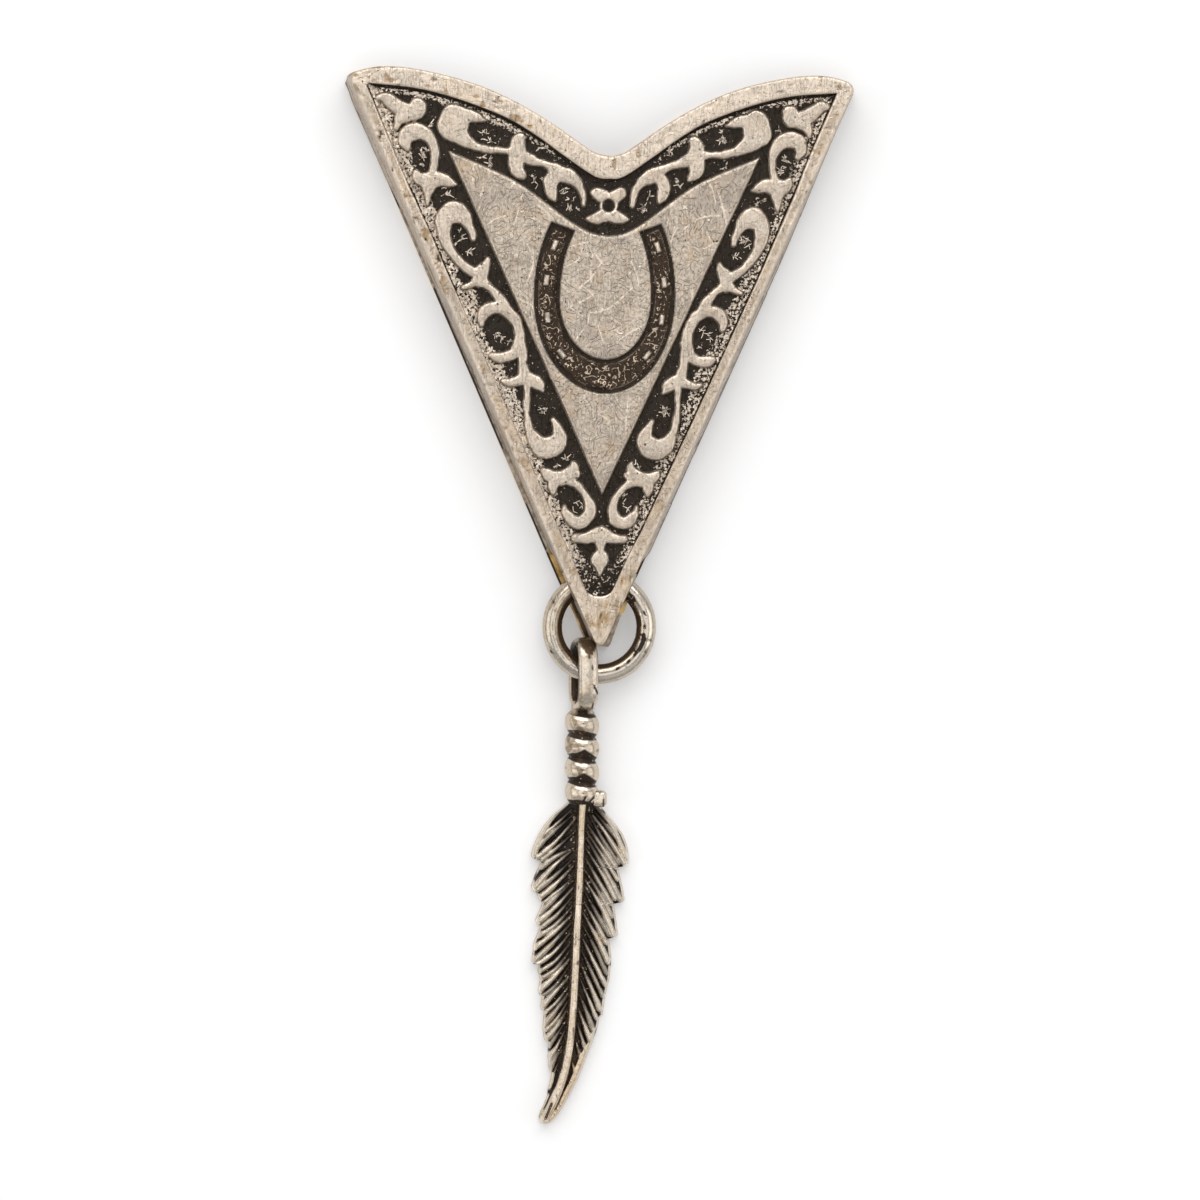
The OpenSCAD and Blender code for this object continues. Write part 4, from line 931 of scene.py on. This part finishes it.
def ringMake():
    # a circle of wire carried round a circle: the distance from the ring's middle is the ring's
    # radius plus the wire's times a cosine, the height the wire's times the sine; streaks run along
    # the wire, and a closed seam and small nicks make it thinner
    a, b = circle(ring["around"])[:, None], circle(ring["section"])[None, :]
    length = a * ringAt["middle"]
    side = b * ringAt["wire"]
    streak = speckle(length / 4 + 0 * b, np.cos(b) * 0.7 + 0 * a, 0.22, 61)
    fineStreak = speckle(length / 2 + 0 * b, np.sin(b) * 0.7 + np.cos(b) * 0.35, 0.16, 62)
    nick = ramp(speckle(length, side + 0 * a, 0.3, 63), 0.9, 0.97)
    seam = hill((np.degrees(a) - 360 - ring["seam"]) * ringAt["middle"] / 57.3, 0, 0.05) + 0 * b
    wire = ringAt["wire"] - 0.012 * speckle(length, side + 0 * a, 0.8, 64) - 0.02 * nick \
        - 0.05 * seam
    r = ringAt["middle"] + wire * np.cos(b)
    x, y = r * np.cos(a), ringAt["y"] + r * np.sin(a)
    z = ringAt["z"] + wire * np.sin(b)
    aside = np.cos(b) + 0 * a               # -1 at the inner edge, 1 at the outer
    turn = (np.degrees(a) + 180) % 360 - 180 + 0 * b
    toRight = ramp(np.cos(a), -0.5, 0.3) + 0 * b
    # painted light and shade across the wire: painted shade along its inner edge, an amber painted
    # reflection beside it, grey painted reflection lines near its middle and near its outer edge,
    # and dark painted reflections
    dark = 1 - ramp(aside + 0.08 * streak, -0.5 - 0.2 * toRight, -0.4 - 0.18 * toRight)
    amber = 1 - ramp(aside + 0.1 * fineStreak, -0.3 - 0.24 * toRight, -0.1 - 0.3 * toRight)
    line = hill(aside, -0.02 - 0.2 * toRight, 0.08 + 0.04 * toRight)
    line = line * (0.6 + 0.2 * toRight) * (0.4 + 0.6 * ramp(fineStreak, 0.2, 0.55))
    outer = hill(aside, 0.78, 0.1) * (0.1 + 0.28 * toRight) * ramp(streak, 0.3, 0.6)
    darkReflection = ramp(speckle(turn / 7, aside * 2.6, 1.0, 65), 0.5, 0.64) * (
        1 - ramp(np.abs(turn - 8), 30, 52)) * (1 - ramp(np.abs(aside + 0.3), 0.3, 0.5))
    for place, across in ring["darkReflections"]:
        slanted = aside + 0.02 * (turn - place)
        darkReflection = np.maximum(darkReflection, hill(turn, place, 3.0) * hill(slanted, across, 0.13))
    shine = 1.0 - 0.98 * dark - 0.5 * amber * (1 - dark) - line - outer - 0.95 * darkReflection
    # painted highlights along the wire
    shine = shine + (0.34 * toRight - 0.06) * hill(aside, 0.35, 0.16) \
        + 0.3 * hill(aside, -0.38 - 0.12 * toRight, 0.07) * toRight
    shine = shine - 0.7 * nick - 0.9 * seam
    stainAndReflection = 0.8 * amber + 0.3 * ramp(aside, 0.5, 0.9) + 0.4 * line
    piece = putMesh("wire_ring", stacked(x, y, z), [gridFaces(*x.shape, True, True)],
                    {"shine": shine, "stainAndReflection": stainAndReflection}, ringSilver, "jump_ring")
    tidyNormals(piece)


ringMake()
print("ring made")

hang = {"lean": 1.0, "about": (0.0, -24.0), "cordX": -1.15, "cordZ": 1.25}
bail = {"x": -1.07, "ends": (-25.1, -27.15), "middle": 1.24, "width": 1.43, "thick": 0.68,
        "roll": 12, "rows": 130, "section": 28,
        "cracks": (((-0.62, -27.3), (-0.66, -27.9)), ((-0.5, -28.0), (-0.48, -28.45)),
                   ((-0.46, -26.75), (-0.16, -27.4)), ((-0.45, -25.4), (-0.52, -25.7)),
                   ((-0.66, -26.25), (-0.62, -26.35)), ((-1.3, -28.3), (-1.28, -28.5)),
                   ((-0.74, -28.15), (-0.76, -28.4)))}
beads = [[-29.62, 0.8], [-31.22, 0.82], [-32.87, 0.84], [-34.5, 0.8]]  # middle y, half height
cord = {"neck": 0.9, "bulge": 0.31, "slant": 0.16, "ends": (-28.25, -35.24), "flat": 1.22,
        "rows": 260, "around": 90,
        "slits": (((-0.95, -34.7), (-1.2, -35.2)), ((-0.3, -34.7), (-0.85, -35.2)))}
knot = {"centre": (0.07, -34.86, 1.6), "half": (0.52, 0.6, 0.55), "blunt": 0.6, "rows": 25,
        "columns": 40}


def silverPiece(name, points, faces, shine, stainAndReflection):
    # a piece of the feather's casting, leaned with it
    piece = putMesh(name, turned(points, hang["lean"], hang["about"]), faces,
                    {"shine": shine, "stainAndReflection": stainAndReflection}, featherSilver,
                    "feather_drop")
    tidyNormals(piece)


def bailMake():
    # a flat strap carried round a long loop that stands on edge; its section is an oval, half its
    # width times a blunted cosine by half its thickness times a blunted sine
    m = bail["middle"]
    turn = np.radians(np.linspace(0, 180, 40))
    upper = np.c_[bail["ends"][0] + m * np.sin(turn), m * np.cos(turn)]
    lower = np.c_[bail["ends"][1] - m * np.sin(turn), -m * np.cos(turn)]
    path = evenly(np.vstack([upper, lower, upper[:1]]), bail["rows"])[:-1]
    ahead = np.roll(path, -1, 0) - np.roll(path, 1, 0)
    ahead /= np.linalg.norm(ahead, axis=1)[:, None]
    outward = np.c_[ahead[:, 1], -ahead[:, 0]]
    outward *= np.sign(np.sum(outward * (path - [np.mean(bail["ends"]), 0]), 1))[:, None]
    b = circle(bail["section"])
    across = bail["width"] / 2 * blunted(np.cos(b), 0.75)
    out = bail["thick"] / 2 * blunted(np.sin(b), 0.8)
    y = path[:, :1] + outward[:, :1] * out
    z = path[:, 1:] + outward[:, 1:] * out
    x = across[None, :] + 0 * y
    y = y + 0 * x
    roll = np.radians(bail["roll"])
    gx = bail["x"] + x * np.cos(roll) + z * np.sin(roll)
    gz = ringAt["z"] - x * np.sin(roll) + z * np.cos(roll)
    outer = ramp(np.sin(b), -0.2, 0.5)[None, :] + 0 * y
    front = ramp(z, 0.2, 0.8)
    # a dark wedge at the strap's top painted as the reflection of the plate's point, a few cracks,
    # a lit outer edge on the leg behind
    halfWedge = 0.55 * np.clip(y - bail["ends"][0], -1, 1.05)
    offset = gx + 0.7 + 0.08 * (y + 24.9)
    reflectedWedge = front * ramp(halfWedge - np.abs(offset), -0.05, 0.08) * (y > bail["ends"][0])
    reflectedWedge = np.maximum(reflectedWedge, front * ramp(y, -24.0, -23.8) * ramp(gx, -1.5, -1.3))
    black = reflectedWedge * ramp(offset - halfWedge, -0.24, -0.1)
    crack = front * (1 - ramp(nearest(gx, y, bail["cracks"]), 0.03, 0.09))
    grey = front * (0.14 * ramp(-y, 26.0, 26.6) + 0.2 * ramp(-gx, 1.1, 1.35)
                    + 0.12 * ramp(speckle(gx, y * 0.25, 0.22, 71), 0.5, 0.8))
    # a painted highlight on the strap's front
    lit = front * hill(gx, -0.75, 0.22) * hill(y, -25.4, 0.6)
    # the leg behind in painted shade, with a painted highlight along its outer edge
    back = (1 - front) * ramp(-y, 25.9, 26.3)
    shine = (0.25 + 0.72 * outer) * (1 - 0.9 * crack) - grey + 0.3 * lit
    shine = shine * (1 - back) + back * (0.03 + 0.9 * ramp(-np.cos(b)[None, :] + 0 * y, 0.8, 0.94))
    shine = np.where(y < -28.0, np.maximum(shine, 0.7 * (1 - crack)), shine)
    shine = shine * (1 - reflectedWedge) + reflectedWedge * (0.15 * (1 - black))
    stainAndReflection = reflectedWedge + 0.35 * grey + 0.5 * back
    silverPiece("bail_loop", stacked(gx, y, gz), [gridFaces(*x.shape, True, True)], shine, stainAndReflection)


def cordMake():
    # round in section; the radius is the neck's plus the bulge times 1 less a power of the share of
    # the way out from each bead's middle, and the beads slant across
    y0 = np.linspace(*cord["ends"], cord["rows"])[:, None]
    a = circle(cord["around"])[None, :]
    yHere = y0 + cord["slant"] * np.cos(a)
    swell = 0 * yHere
    for middle, half in beads:
        swell = np.maximum(swell, 1 - np.abs((yHere - middle) / half) ** 2.2)
    swell = np.clip(swell, 0, 1)
    radius = cord["neck"] + cord["bulge"] * swell - 0.16 * ramp(y0, -29.0, -28.5)
    x = hang["cordX"] + radius * np.cos(a)
    z = hang["cordZ"] + np.minimum(radius, cord["flat"]) * np.sin(a)
    y = y0 + 0 * a
    # each bead: a painted highlight along its top, painted shade below it and in the gaps, the
    # shade rising to a peak near the middle
    shine, glow, spot = 0 * x, 0 * x, 0 * x
    side = x - hang["cordX"]
    for n, (middle, half) in enumerate(beads):
        q = (yHere - middle) / half + 0.06 * (speckle(x, y, 0.25, 82) - 0.5)
        fromPeak = side - 0.1 - 0.35 * (side > 0.1) * (side - 0.1)
        low = -0.54 + 0.38 * (n in (1, 2)) * np.clip(1 - np.abs(fromPeak) / 0.55, 0, 1)
        out = 0.24 * (side / 1.2) ** 2
        bead = ramp(q, low - 0.06 - out, low + 0.08 - out) * (1 - ramp(q, 0.56 + out, 0.68 + out))
        shine = np.maximum(shine, bead)
        smile = q - 0.42 - 0.14 * (side / 0.7) ** 2
        glow = np.maximum(glow, hill(smile, 0, 0.11) * (1 - ramp(np.abs(side), 0.45, 0.8)))
        spot = np.maximum(spot, hill(q, 0.1, 0.08) * hill(side, 0.05, 0.14))
    slit = (1 - ramp(nearest(x, y, cord["slits"]), 0.03, 0.12)) * (z > hang["cordZ"])
    z = z - 0.08 * slit
    rust = ramp(speckle(x, y, 0.4, 81), 0.6, 0.8) * (1 - glow)
    # the painted highlight only on the upper half of each bead
    shine = 0.06 + shine * (0.8 + 0.54 * glow * (z > hang["cordZ"]) - 0.42 * rust - 0.65 * spot)
    shine = shine * (1 - 0.9 * slit)
    neck = ramp(y, -29.0, -28.8)
    shine = shine * (1 - neck) + neck * (0.6 * ramp(np.abs(side), 0.25, 0.5))
    points = stacked(x, y, z)
    poles = [[hang["cordX"], end, hang["cordZ"]] for end in cord["ends"]]
    stainAndReflection = 0.2 * (1 - glow) + 0.4 * rust
    silverPiece("cord_wraps", np.vstack([points, poles]), tubeFaces(*x.shape),
                np.r_[shine.ravel(), 0.1, 0.1], np.r_[stainAndReflection.ravel(), 0, 0])


def knotMake():
    # a rounded block: a ball whose sines and cosines are blunted
    a = np.radians(np.linspace(-90, 90, knot["rows"]))[:, None]
    b = circle(knot["columns"])[None, :]
    centre, half = knot["centre"], knot["half"]
    level, power = blunted(np.cos(a), knot["blunt"]), knot["blunt"]
    x = centre[0] + half[0] * level * blunted(np.cos(b), power)
    y = centre[1] + half[1] * level * blunted(np.sin(b), power)
    z = centre[2] + half[2] * blunted(np.sin(a), power) + 0 * b
    fold = nearest(x, y, [((0.34, -34.9), (0.3, -35.3))])
    shine = 0.92 - 0.7 * (1 - ramp(fold, 0.04, 0.12))
    shine = shine - 0.7 * (1 - ramp(np.hypot(x - 0.05, y + 34.42), 0.04, 0.14))
    points = stacked(x[1:-1], y[1:-1], z[1:-1])
    poles = [[0.05, -34.82, centre[2] - half[2]], [0.05, -34.82, centre[2] + half[2]]]
    silverPiece("cord_knot", np.vstack([points, poles]),
                tubeFaces(knot["rows"] - 2, knot["columns"], True),
                np.r_[shine[1:-1].ravel(), 0.9, 0.9], np.zeros(len(points) + 2))


bailMake()
cordMake()
knotMake()
print("bail and cord made")

# edges of the vane from its top down to the tip: x, y
vaneLeft = [[-1.9, -35.02], [-2.3, -35.38], [-3.2, -36.1], [-3.8, -36.8], [-4.25, -37.6],
            [-4.55, -38.3], [-4.7, -38.9], [-4.6, -39.15], [-4.3, -39.2], [-4.05, -39.5],
            [-4.45, -40.4], [-4.7, -41.1], [-4.5, -41.5], [-4.3, -41.6], [-4.15, -42.05],
            [-3.9, -42.3], [-4.4, -43.5], [-4.2, -43.85], [-4.05, -43.95], [-4.5, -45.1],
            [-4.65, -46.4], [-4.45, -46.6], [-4.15, -46.65], [-4.2, -47.1], [-4.05, -47.7],
            [-4.2, -48.5], [-4.05, -48.8], [-3.88, -48.85], [-4.05, -49.6], [-3.9, -49.85],
            [-3.75, -49.9], [-3.87, -51], [-3.75, -51.95], [-3.45, -52.1], [-3.5, -53.2],
            [-3.4, -54.15], [-3.2, -54.25], [-3.45, -55.3], [-3.52, -55.9], [-3.75, -56.5],
            [-4, -57], [-4.12, -57.4], [-4, -57.75], [-3.72, -57.9]]
vaneRight = [[-0.3, -35.02], [0.2, -35.5], [0.88, -36.3], [1.4, -36.9], [1.8, -37.5],
             [2.08, -38.2], [2.2, -38.9], [2.18, -39.5], [1.96, -39.72], [1.46, -39.8],
             [1.78, -41.2], [1.92, -42.05], [1.75, -42.28], [1.15, -42.36], [1.35, -43.6],
             [1.46, -44.55], [1.3, -44.74], [0.84, -44.82], [0.88, -45.2], [1.0, -46.2],
             [0.86, -47.7], [0.54, -49], [0.4, -50.2], [0.16, -50.4], [0.08, -50.9],
             [-0.33, -52.2], [-0.68, -53], [-1.05, -54], [-1.37, -54.8], [-1.8, -55.6],
             [-2.3, -56.5], [-2.72, -57.2], [-3.25, -57.78], [-3.68, -57.9]]
quill = [[-1.02, -34.95, 0.28], [-1.1, -35.6, 0.28], [-1.17, -36.8, 0.28], [-1.2, -38, 0.27],
         [-1.3, -41, 0.3], [-1.38, -42.6, 0.28], [-1.46, -44, 0.31], [-1.58, -47, 0.31],
         [-1.75, -50, 0.31], [-2, -52.5, 0.32], [-2.45, -54.6, 0.33], [-3.1, -56.3, 0.34],
         [-3.72, -57.5, 0.32]]
# barbs: start x, y, bend x, y, tip x, y, half width
barbs = [
    [-2.4, -35.6, -3.55, -36.7, -4.5, -38.85, 0.2], [-2.1, -35.95, -3.1, -36.85, -4, -37.6, 0.1],
    [-2, -36.3, -3.2, -37.3, -4.3, -38.4, 0.12], [-1.8, -36.6, -3, -37.95, -4.2, -39, 0.13],
    [-2, -37.6, -3, -38.45, -3.9, -39.2, 0.11], [-1.9, -38.5, -2.9, -38.95, -3.95, -39.75, 0.12],
    [-2.2, -38.9, -3.2, -39.75, -4.5, -41.25, 0.15], [-2.1, -39.5, -3.1, -40.4, -4.2, -41.3, 0.12],
    [-2, -39.95, -3, -40.95, -4.1, -41.9, 0.17], [-2, -40.7, -2.7, -41.35, -3.7, -42.15, 0.1],
    [-2.1, -41.05, -3.2, -42.1, -4.05, -42.9, 0.13], [-2, -41.5, -3.1, -42.65, -4.2, -43.6, 0.15],
    [-2, -42.1, -2.9, -43.1, -3.85, -43.9, 0.12], [-2, -42.75, -3, -43.8, -4.15, -44.6, 0.12],
    [-2, -43.3, -3.1, -44.35, -4.4, -45.4, 0.15], [-2.1, -43.95, -3.2, -45.1, -4.45, -46.3, 0.15],
    [-2.2, -44.7, -3.1, -45.75, -4.2, -46.55, 0.12], [-2.1, -45.3, -3, -46.35, -4.1, -47.1, 0.11],
    [-2.2, -45.95, -3, -46.95, -4, -47.6, 0.12], [-2.2, -46.5, -3.1, -47.5, -4.05, -48.4, 0.15],
    [-2.25, -47.1, -3, -48.1, -3.85, -48.8, 0.1], [-2.15, -47.65, -3.1, -48.65, -3.9, -49.6, 0.15],
    [-2.15, -48.3, -2.9, -49.25, -3.65, -49.95, 0.1], [-2.15, -48.8, -3, -49.9, -3.75, -50.8, 0.14],
    [-2.2, -49.4, -2.9, -50.45, -3.6, -51.2, 0.1], [-2.25, -50, -2.95, -51.05, -3.65, -51.9, 0.15],
    [-2.35, -50.8, -3, -51.75, -3.4, -52.4, 0.1], [-2.45, -51.6, -2.95, -52.5, -3.4, -53.2, 0.12],
    [-2.65, -52.6, -3.1, -53.4, -3.35, -54, 0.13], [-2.85, -53.8, -3.15, -54.5, -3.35, -55.2, 0.1],
    [0.05, -35.75, 1, -36.85, 1.92, -39, 0.17], [0, -36.1, 0.75, -37, 1.5, -37.95, 0.1],
    [-0.1, -36.45, 0.8, -37.7, 1.9, -39.5, 0.15], [-0.4, -36.4, 0.3, -37.7, 1.45, -39.45, 0.1],
    [-0.5, -37.1, 0.3, -38.3, 1.25, -39.75, 0.12], [-0.45, -37.75, 0.6, -39.35, 1.35, -40.6, 0.11],
    [-0.5, -38.2, 0.5, -39.9, 1.55, -42, 0.15], [-0.6, -38.8, 0.3, -40.2, 1.2, -41.95, 0.11],
    [-0.7, -39.4, 0.1, -40.8, 0.95, -42.3, 0.12], [-0.75, -40.2, 0.2, -41.7, 0.95, -43.2, 0.12],
    [-0.7, -40.95, 0.3, -42.6, 1.1, -44.55, 0.15], [-0.75, -41.75, 0.05, -43.2, 0.8, -44.5, 0.11],
    [-0.8, -42.5, -0.1, -43.7, 0.6, -45.1, 0.12], [-0.85, -43.3, 0, -44.8, 0.7, -46.4, 0.14],
    [-0.9, -44.1, -0.15, -45.5, 0.6, -47.2, 0.11], [-0.95, -45, -0.25, -46.4, 0.5, -48, 0.13],
    [-1, -45.9, -0.4, -47.15, 0.35, -48.8, 0.11], [-1.1, -46.8, -0.45, -48.2, 0.15, -49.75, 0.13],
    [-1.15, -47.8, -0.55, -49.2, -0.1, -50.4, 0.1], [-1.25, -48.8, -0.75, -50, -0.3, -51.2, 0.12],
    [-1.35, -49.7, -0.9, -50.9, -0.5, -52, 0.12], [-1.45, -50.7, -1.1, -51.8, -0.8, -52.8, 0.1],
    [-1.6, -51.8, -1.3, -52.8, -1.15, -53.7, 0.1], [-1.9, -53.2, -1.65, -54, -1.6, -54.7, 0.1]]
vane = {"rows": 580, "columns": 140, "floor": 0.5, "crest": 0.98, "quillTop": 1.28, "edge": 0.3,
        "underside": 0.004}
# lit border of the vane beside its tip: x, y, half width
margin = [[-0.25, -51.2, 0.14], [-0.55, -52.2, 0.22], [-0.98, -53, 0.28], [-1.37, -54, 0.31],
          [-1.78, -55, 0.31], [-2.3, -56, 0.31], [-2.86, -57, 0.29], [-3.4, -57.6, 0.2]]


def barbRidges(x, y):
    # height and shine, 0 to 1, of the ridges that run from the quill to the edges: each ridge's
    # height is the root of 1 less the square of the distance from its middle over its half width
    ridge, keen = np.zeros(x.shape), np.zeros(x.shape)
    for k, (ax, ay, bx, by, cx, cy, half) in enumerate(barbs):
        line = smoothLine([[ax * 1.28 - bx * 0.28, ay * 1.28 - by * 0.28], [bx, by], [cx, cy]], 6)
        low, high = line.min(0) - 0.5, line.max(0) + 0.5
        near = (x > low[0]) & (x < high[0]) & (y > low[1]) & (y < high[1])
        px, py = x[near], y[near]
        best, along = np.full(px.shape, 9.0), np.zeros(px.shape)
        for n, (a, b) in enumerate(zip(line[:-1], line[1:])):
            d, t = pieceDistance(px, py, a, b)
            along = np.where(d < best, (n + t) / (len(line) - 1), along)
            best = np.minimum(best, d)
        strong = np.clip((half - 0.09) / 0.05, 0, 1)
        wide = (0.2 + 0.1 * strong) * (0.42 + 0.58 * ramp(along, 0, 0.75))
        wide = wide * (0.85 + 0.3 * speckle(px, py, 0.5, 94))
        dome = np.clip(1 - (best / wide) ** 2, 0, 1)
        lift = np.sqrt(dome) * (0.4 + 0.6 * ramp(along, 0, 0.5)) * (0.85 + 0.15 * strong)
        ridge[near] = np.maximum(ridge[near], lift)
        level = 0.52 + 0.36 * strong + 0.2 * np.sin(k * 2.4)
        level = level * (0.28 + 0.72 * ramp(along, 0.15, 0.6))
        keen[near] = np.maximum(keen[near], ramp(dome, 0.36, 0.7) * level)
    return ridge, keen


def vaneMake():
    # rows across the feather from edge to edge; the height is the web's plus the tallest ridge's,
    # the quill's is the root of 1 less the fourth power of the distance over its half width
    left, right = np.array(vaneLeft), np.array(vaneRight)
    y0 = np.linspace(left[0, 1], left[-1, 1], vane["rows"])
    xl = np.interp(-y0, -left[:, 1], left[:, 0])
    xr = np.interp(-y0, -right[:, 1], right[:, 0])
    s = np.linspace(0, 1, vane["columns"])
    s = 0.5 - 0.375 * np.cos(np.pi * s) - 0.125 * (1 - 2 * s)          # closer at the edges
    s = (s - s[0]) / (s[-1] - s[0])
    x = xl[:, None] + (xr - xl)[:, None] * s
    y = y0[:, None] + 0 * x
    middle = smoothLine(quill, 6)
    quillX = np.interp(-y, -middle[:, 1], middle[:, 0])
    quillHalf = np.interp(-y, -middle[:, 1], middle[:, 2])
    away = np.abs(x - quillX)
    ridge, keen = barbRidges(x, y)
    band = strokeDistance(x, y, [margin], 1.0, 5)
    ridge = np.maximum(ridge, 0.8 * (1 - ramp(band, -0.1, 0.06)))
    keen = np.maximum(keen, 0.88 * (1 - ramp(band, -0.06, 0.06)))
    z = vane["floor"] + (vane["crest"] - vane["floor"]) * ridge
    q = np.clip(away / (quillHalf * 1.08), 0, 1)
    stem = np.sqrt(1 - q ** 4)
    foot = vane["floor"] + 0.1
    z = np.where(q < 1, np.maximum(z, foot + (vane["quillTop"] - foot) * stem), z)
    side = np.minimum(x - xl[:, None], xr[:, None] - x)
    side = np.minimum(side, (y - left[-1, 1]) * 1.2)
    edge = ramp(side, -0.12, vane["edge"])
    z = z * (0.35 + 0.65 * edge)
    rough = speckle(x, y, 0.14, 91)
    shine = 0.02 + 0.93 * keen
    rimLight = (1 - ramp(side, 0.1, 0.2)) * ramp(speckle(x, y, 0.6, 93), 0.1, 0.35)
    shine = np.maximum(shine, 0.85 * rimLight)
    shine = shine + 0.3 * hill(side, 0.1, 0.07) * rimLight
    specks = ramp(rough, 0.72, 0.86) * ramp(-np.abs(away - 0.6), -0.35, -0.1)
    shine = np.maximum(shine, 0.55 * specks)
    z = z + 0.04 * specks
    fine = speckle(x, y * 0.3, 0.3, 95)
    pit = ramp(speckle(x * 1.6, y * 0.45, 0.3, 92), 0.72, 0.88)
    onQuill = 0.98 + 0.14 * ramp(fine, 0.4, 0.9) - ramp(q, 0.9, 1) - 0.7 * pit * (q < 0.75)
    shine = np.where(q < 1, onQuill, shine)
    shine = np.where((q >= 1) & (away < quillHalf + 0.12), shine * 0.3, shine)
    groove = 1 - ramp(nearest(x, y, [((-3.25, -56.4), (-3.68, -57.45))]), 0.02, 0.12)
    shine, z = shine * (1 - 0.75 * groove), z - 0.15 * groove
    tipSkin = ramp(-y, 56.6, 57.1) * (1 - groove)
    shine = np.maximum(shine, 0.9 * tipSkin)
    under = np.array([1.0, 0.75, 0.5, 0.25, 0.0])          # the flat underside, from right to left
    ux = xl[:, None] + (xr - xl)[:, None] * (0.03 + 0.94 * under)
    x = np.c_[x, ux]
    y = np.c_[y, y0[:, None] + 0 * ux]
    z = np.c_[z, 0 * ux + vane["underside"]]
    shine = np.c_[shine, 0.6 + 0 * ux]
    fromQuill = x - np.interp(-y, -middle[:, 1], middle[:, 0])
    stainAndReflection = 0.5 * ramp(-y, 52.0, 53.5) * ramp(fromQuill, 0.2, 0.5) + 0.3 * ramp(
        1.2 - np.abs(fromQuill), 0.2, 0.8)
    points = stacked(x, y, z)
    poles = [[(xl[0] + xr[0]) / 2, y0[0], 0.3], [(xl[-1] + xr[-1]) / 2, y0[-1], 0.1]]
    silverPiece("feather_vane", np.vstack([points, poles]), tubeFaces(*x.shape),
                np.r_[shine.ravel(), 0.1, 0.8], np.r_[stainAndReflection.ravel(), 0, 0])


vaneMake()
print("feather made")

# scale in mm a pixel of the photo; the camera's angles in degrees; lamps: place, size, watts
studio = {"scale": 0.07, "pixels": 1200, "centre": (0.0, -20.9), "leftOfTop": 3.2, "fromTop": 2.0,
          "roll": 1.0, "lens": 180, "sensor": 36, "world": 0.5, "floorHalf": 1.5,
          "target": (0, -0.02, 0)}
paint = {"Base Color": (0.84, 0.84, 0.84, 1), "Roughness": 0.7, "Specular IOR Level": 0.1,
         "Emission Color": (1, 1, 1, 1), "Emission Strength": 0.13}
lamps = {"top_softbox": ((0.0, 0.42, 0.42), (0.9, 0.4), 2.26),
         "overhead": ((-0.03, 0.02, 0.9), (0.7, 0.7), 1.4),
         "left_fill": ((-0.5, -0.05, 0.35), (0.4, 0.4), 0.57),
         "right_fill": ((0.5, -0.05, 0.35), (0.4, 0.4), 0.46)}


def floorMake():
    # a matt floor that glows a little, so that it stays white
    mesh = bpy.data.meshes.new("floor")
    half = studio["floorHalf"]
    mesh.from_pydata([(-half, -half, 0), (half, -half, 0), (half, half, 0), (-half, half, 0)],
                     [], [(0, 1, 2, 3)])
    material, _, shader = newMaterial("floor_paint")
    for socketName, value in paint.items():
        shader.inputs[socketName].default_value = value
    mesh.materials.append(material)
    floor = bpy.data.objects.new("floor", mesh)
    scene.collection.objects.link(floor)


def worldMake():
    world = bpy.data.worlds.new("studio")
    world.use_nodes = True
    background = world.node_tree.nodes["Background"]
    background.inputs["Color"].default_value = (1, 1, 1, 1)
    background.inputs["Strength"].default_value = studio["world"]
    scene.world = world


def lampMake(name, place, size, power):
    data = bpy.data.lights.new(name, "AREA")
    data.shape, data.size, data.size_y = "RECTANGLE", size[0], size[1]
    data.energy = power
    lamp = bpy.data.objects.new(name, data)
    lamp.location = place
    toTarget = Vector(studio["target"]) - Vector(place)
    lamp.rotation_euler = toTarget.to_track_quat("-Z", "Y").to_euler()
    scene.collection.objects.link(lamp)


def cameraMake():
    # looks at the picture's middle, from a little to its left and towards its top
    data = bpy.data.cameras.new("camera")
    data.lens, data.sensor_width = studio["lens"], studio["sensor"]
    wide = studio["pixels"] * studio["scale"] * mm
    distance = wide * data.lens / data.sensor_width
    data.clip_end = 10
    camera = bpy.data.objects.new("camera", data)
    target = Vector((studio["centre"][0] * mm, studio["centre"][1] * mm, 2 * mm))
    toward = Vector((-np.sin(np.radians(studio["leftOfTop"])),
                     np.sin(np.radians(studio["fromTop"])), 1)).normalized()
    right = Vector((1, 0, 0))
    up = toward.cross(right).normalized()
    right = up.cross(toward).normalized()
    turn = Matrix.Rotation(np.radians(studio["roll"]), 3, toward)
    right, up = turn @ right, turn @ up
    basis = Matrix((right, up, toward)).transposed()
    camera.matrix_world = Matrix.Translation(target + toward * distance) @ basis.to_4x4()
    scene.collection.objects.link(camera)
    scene.camera = camera


floorMake()
worldMake()
for lampName, settings in lamps.items():
    lampMake(lampName, *settings)
cameraMake()
scene.view_settings.view_transform = "Standard"
print("studio made")
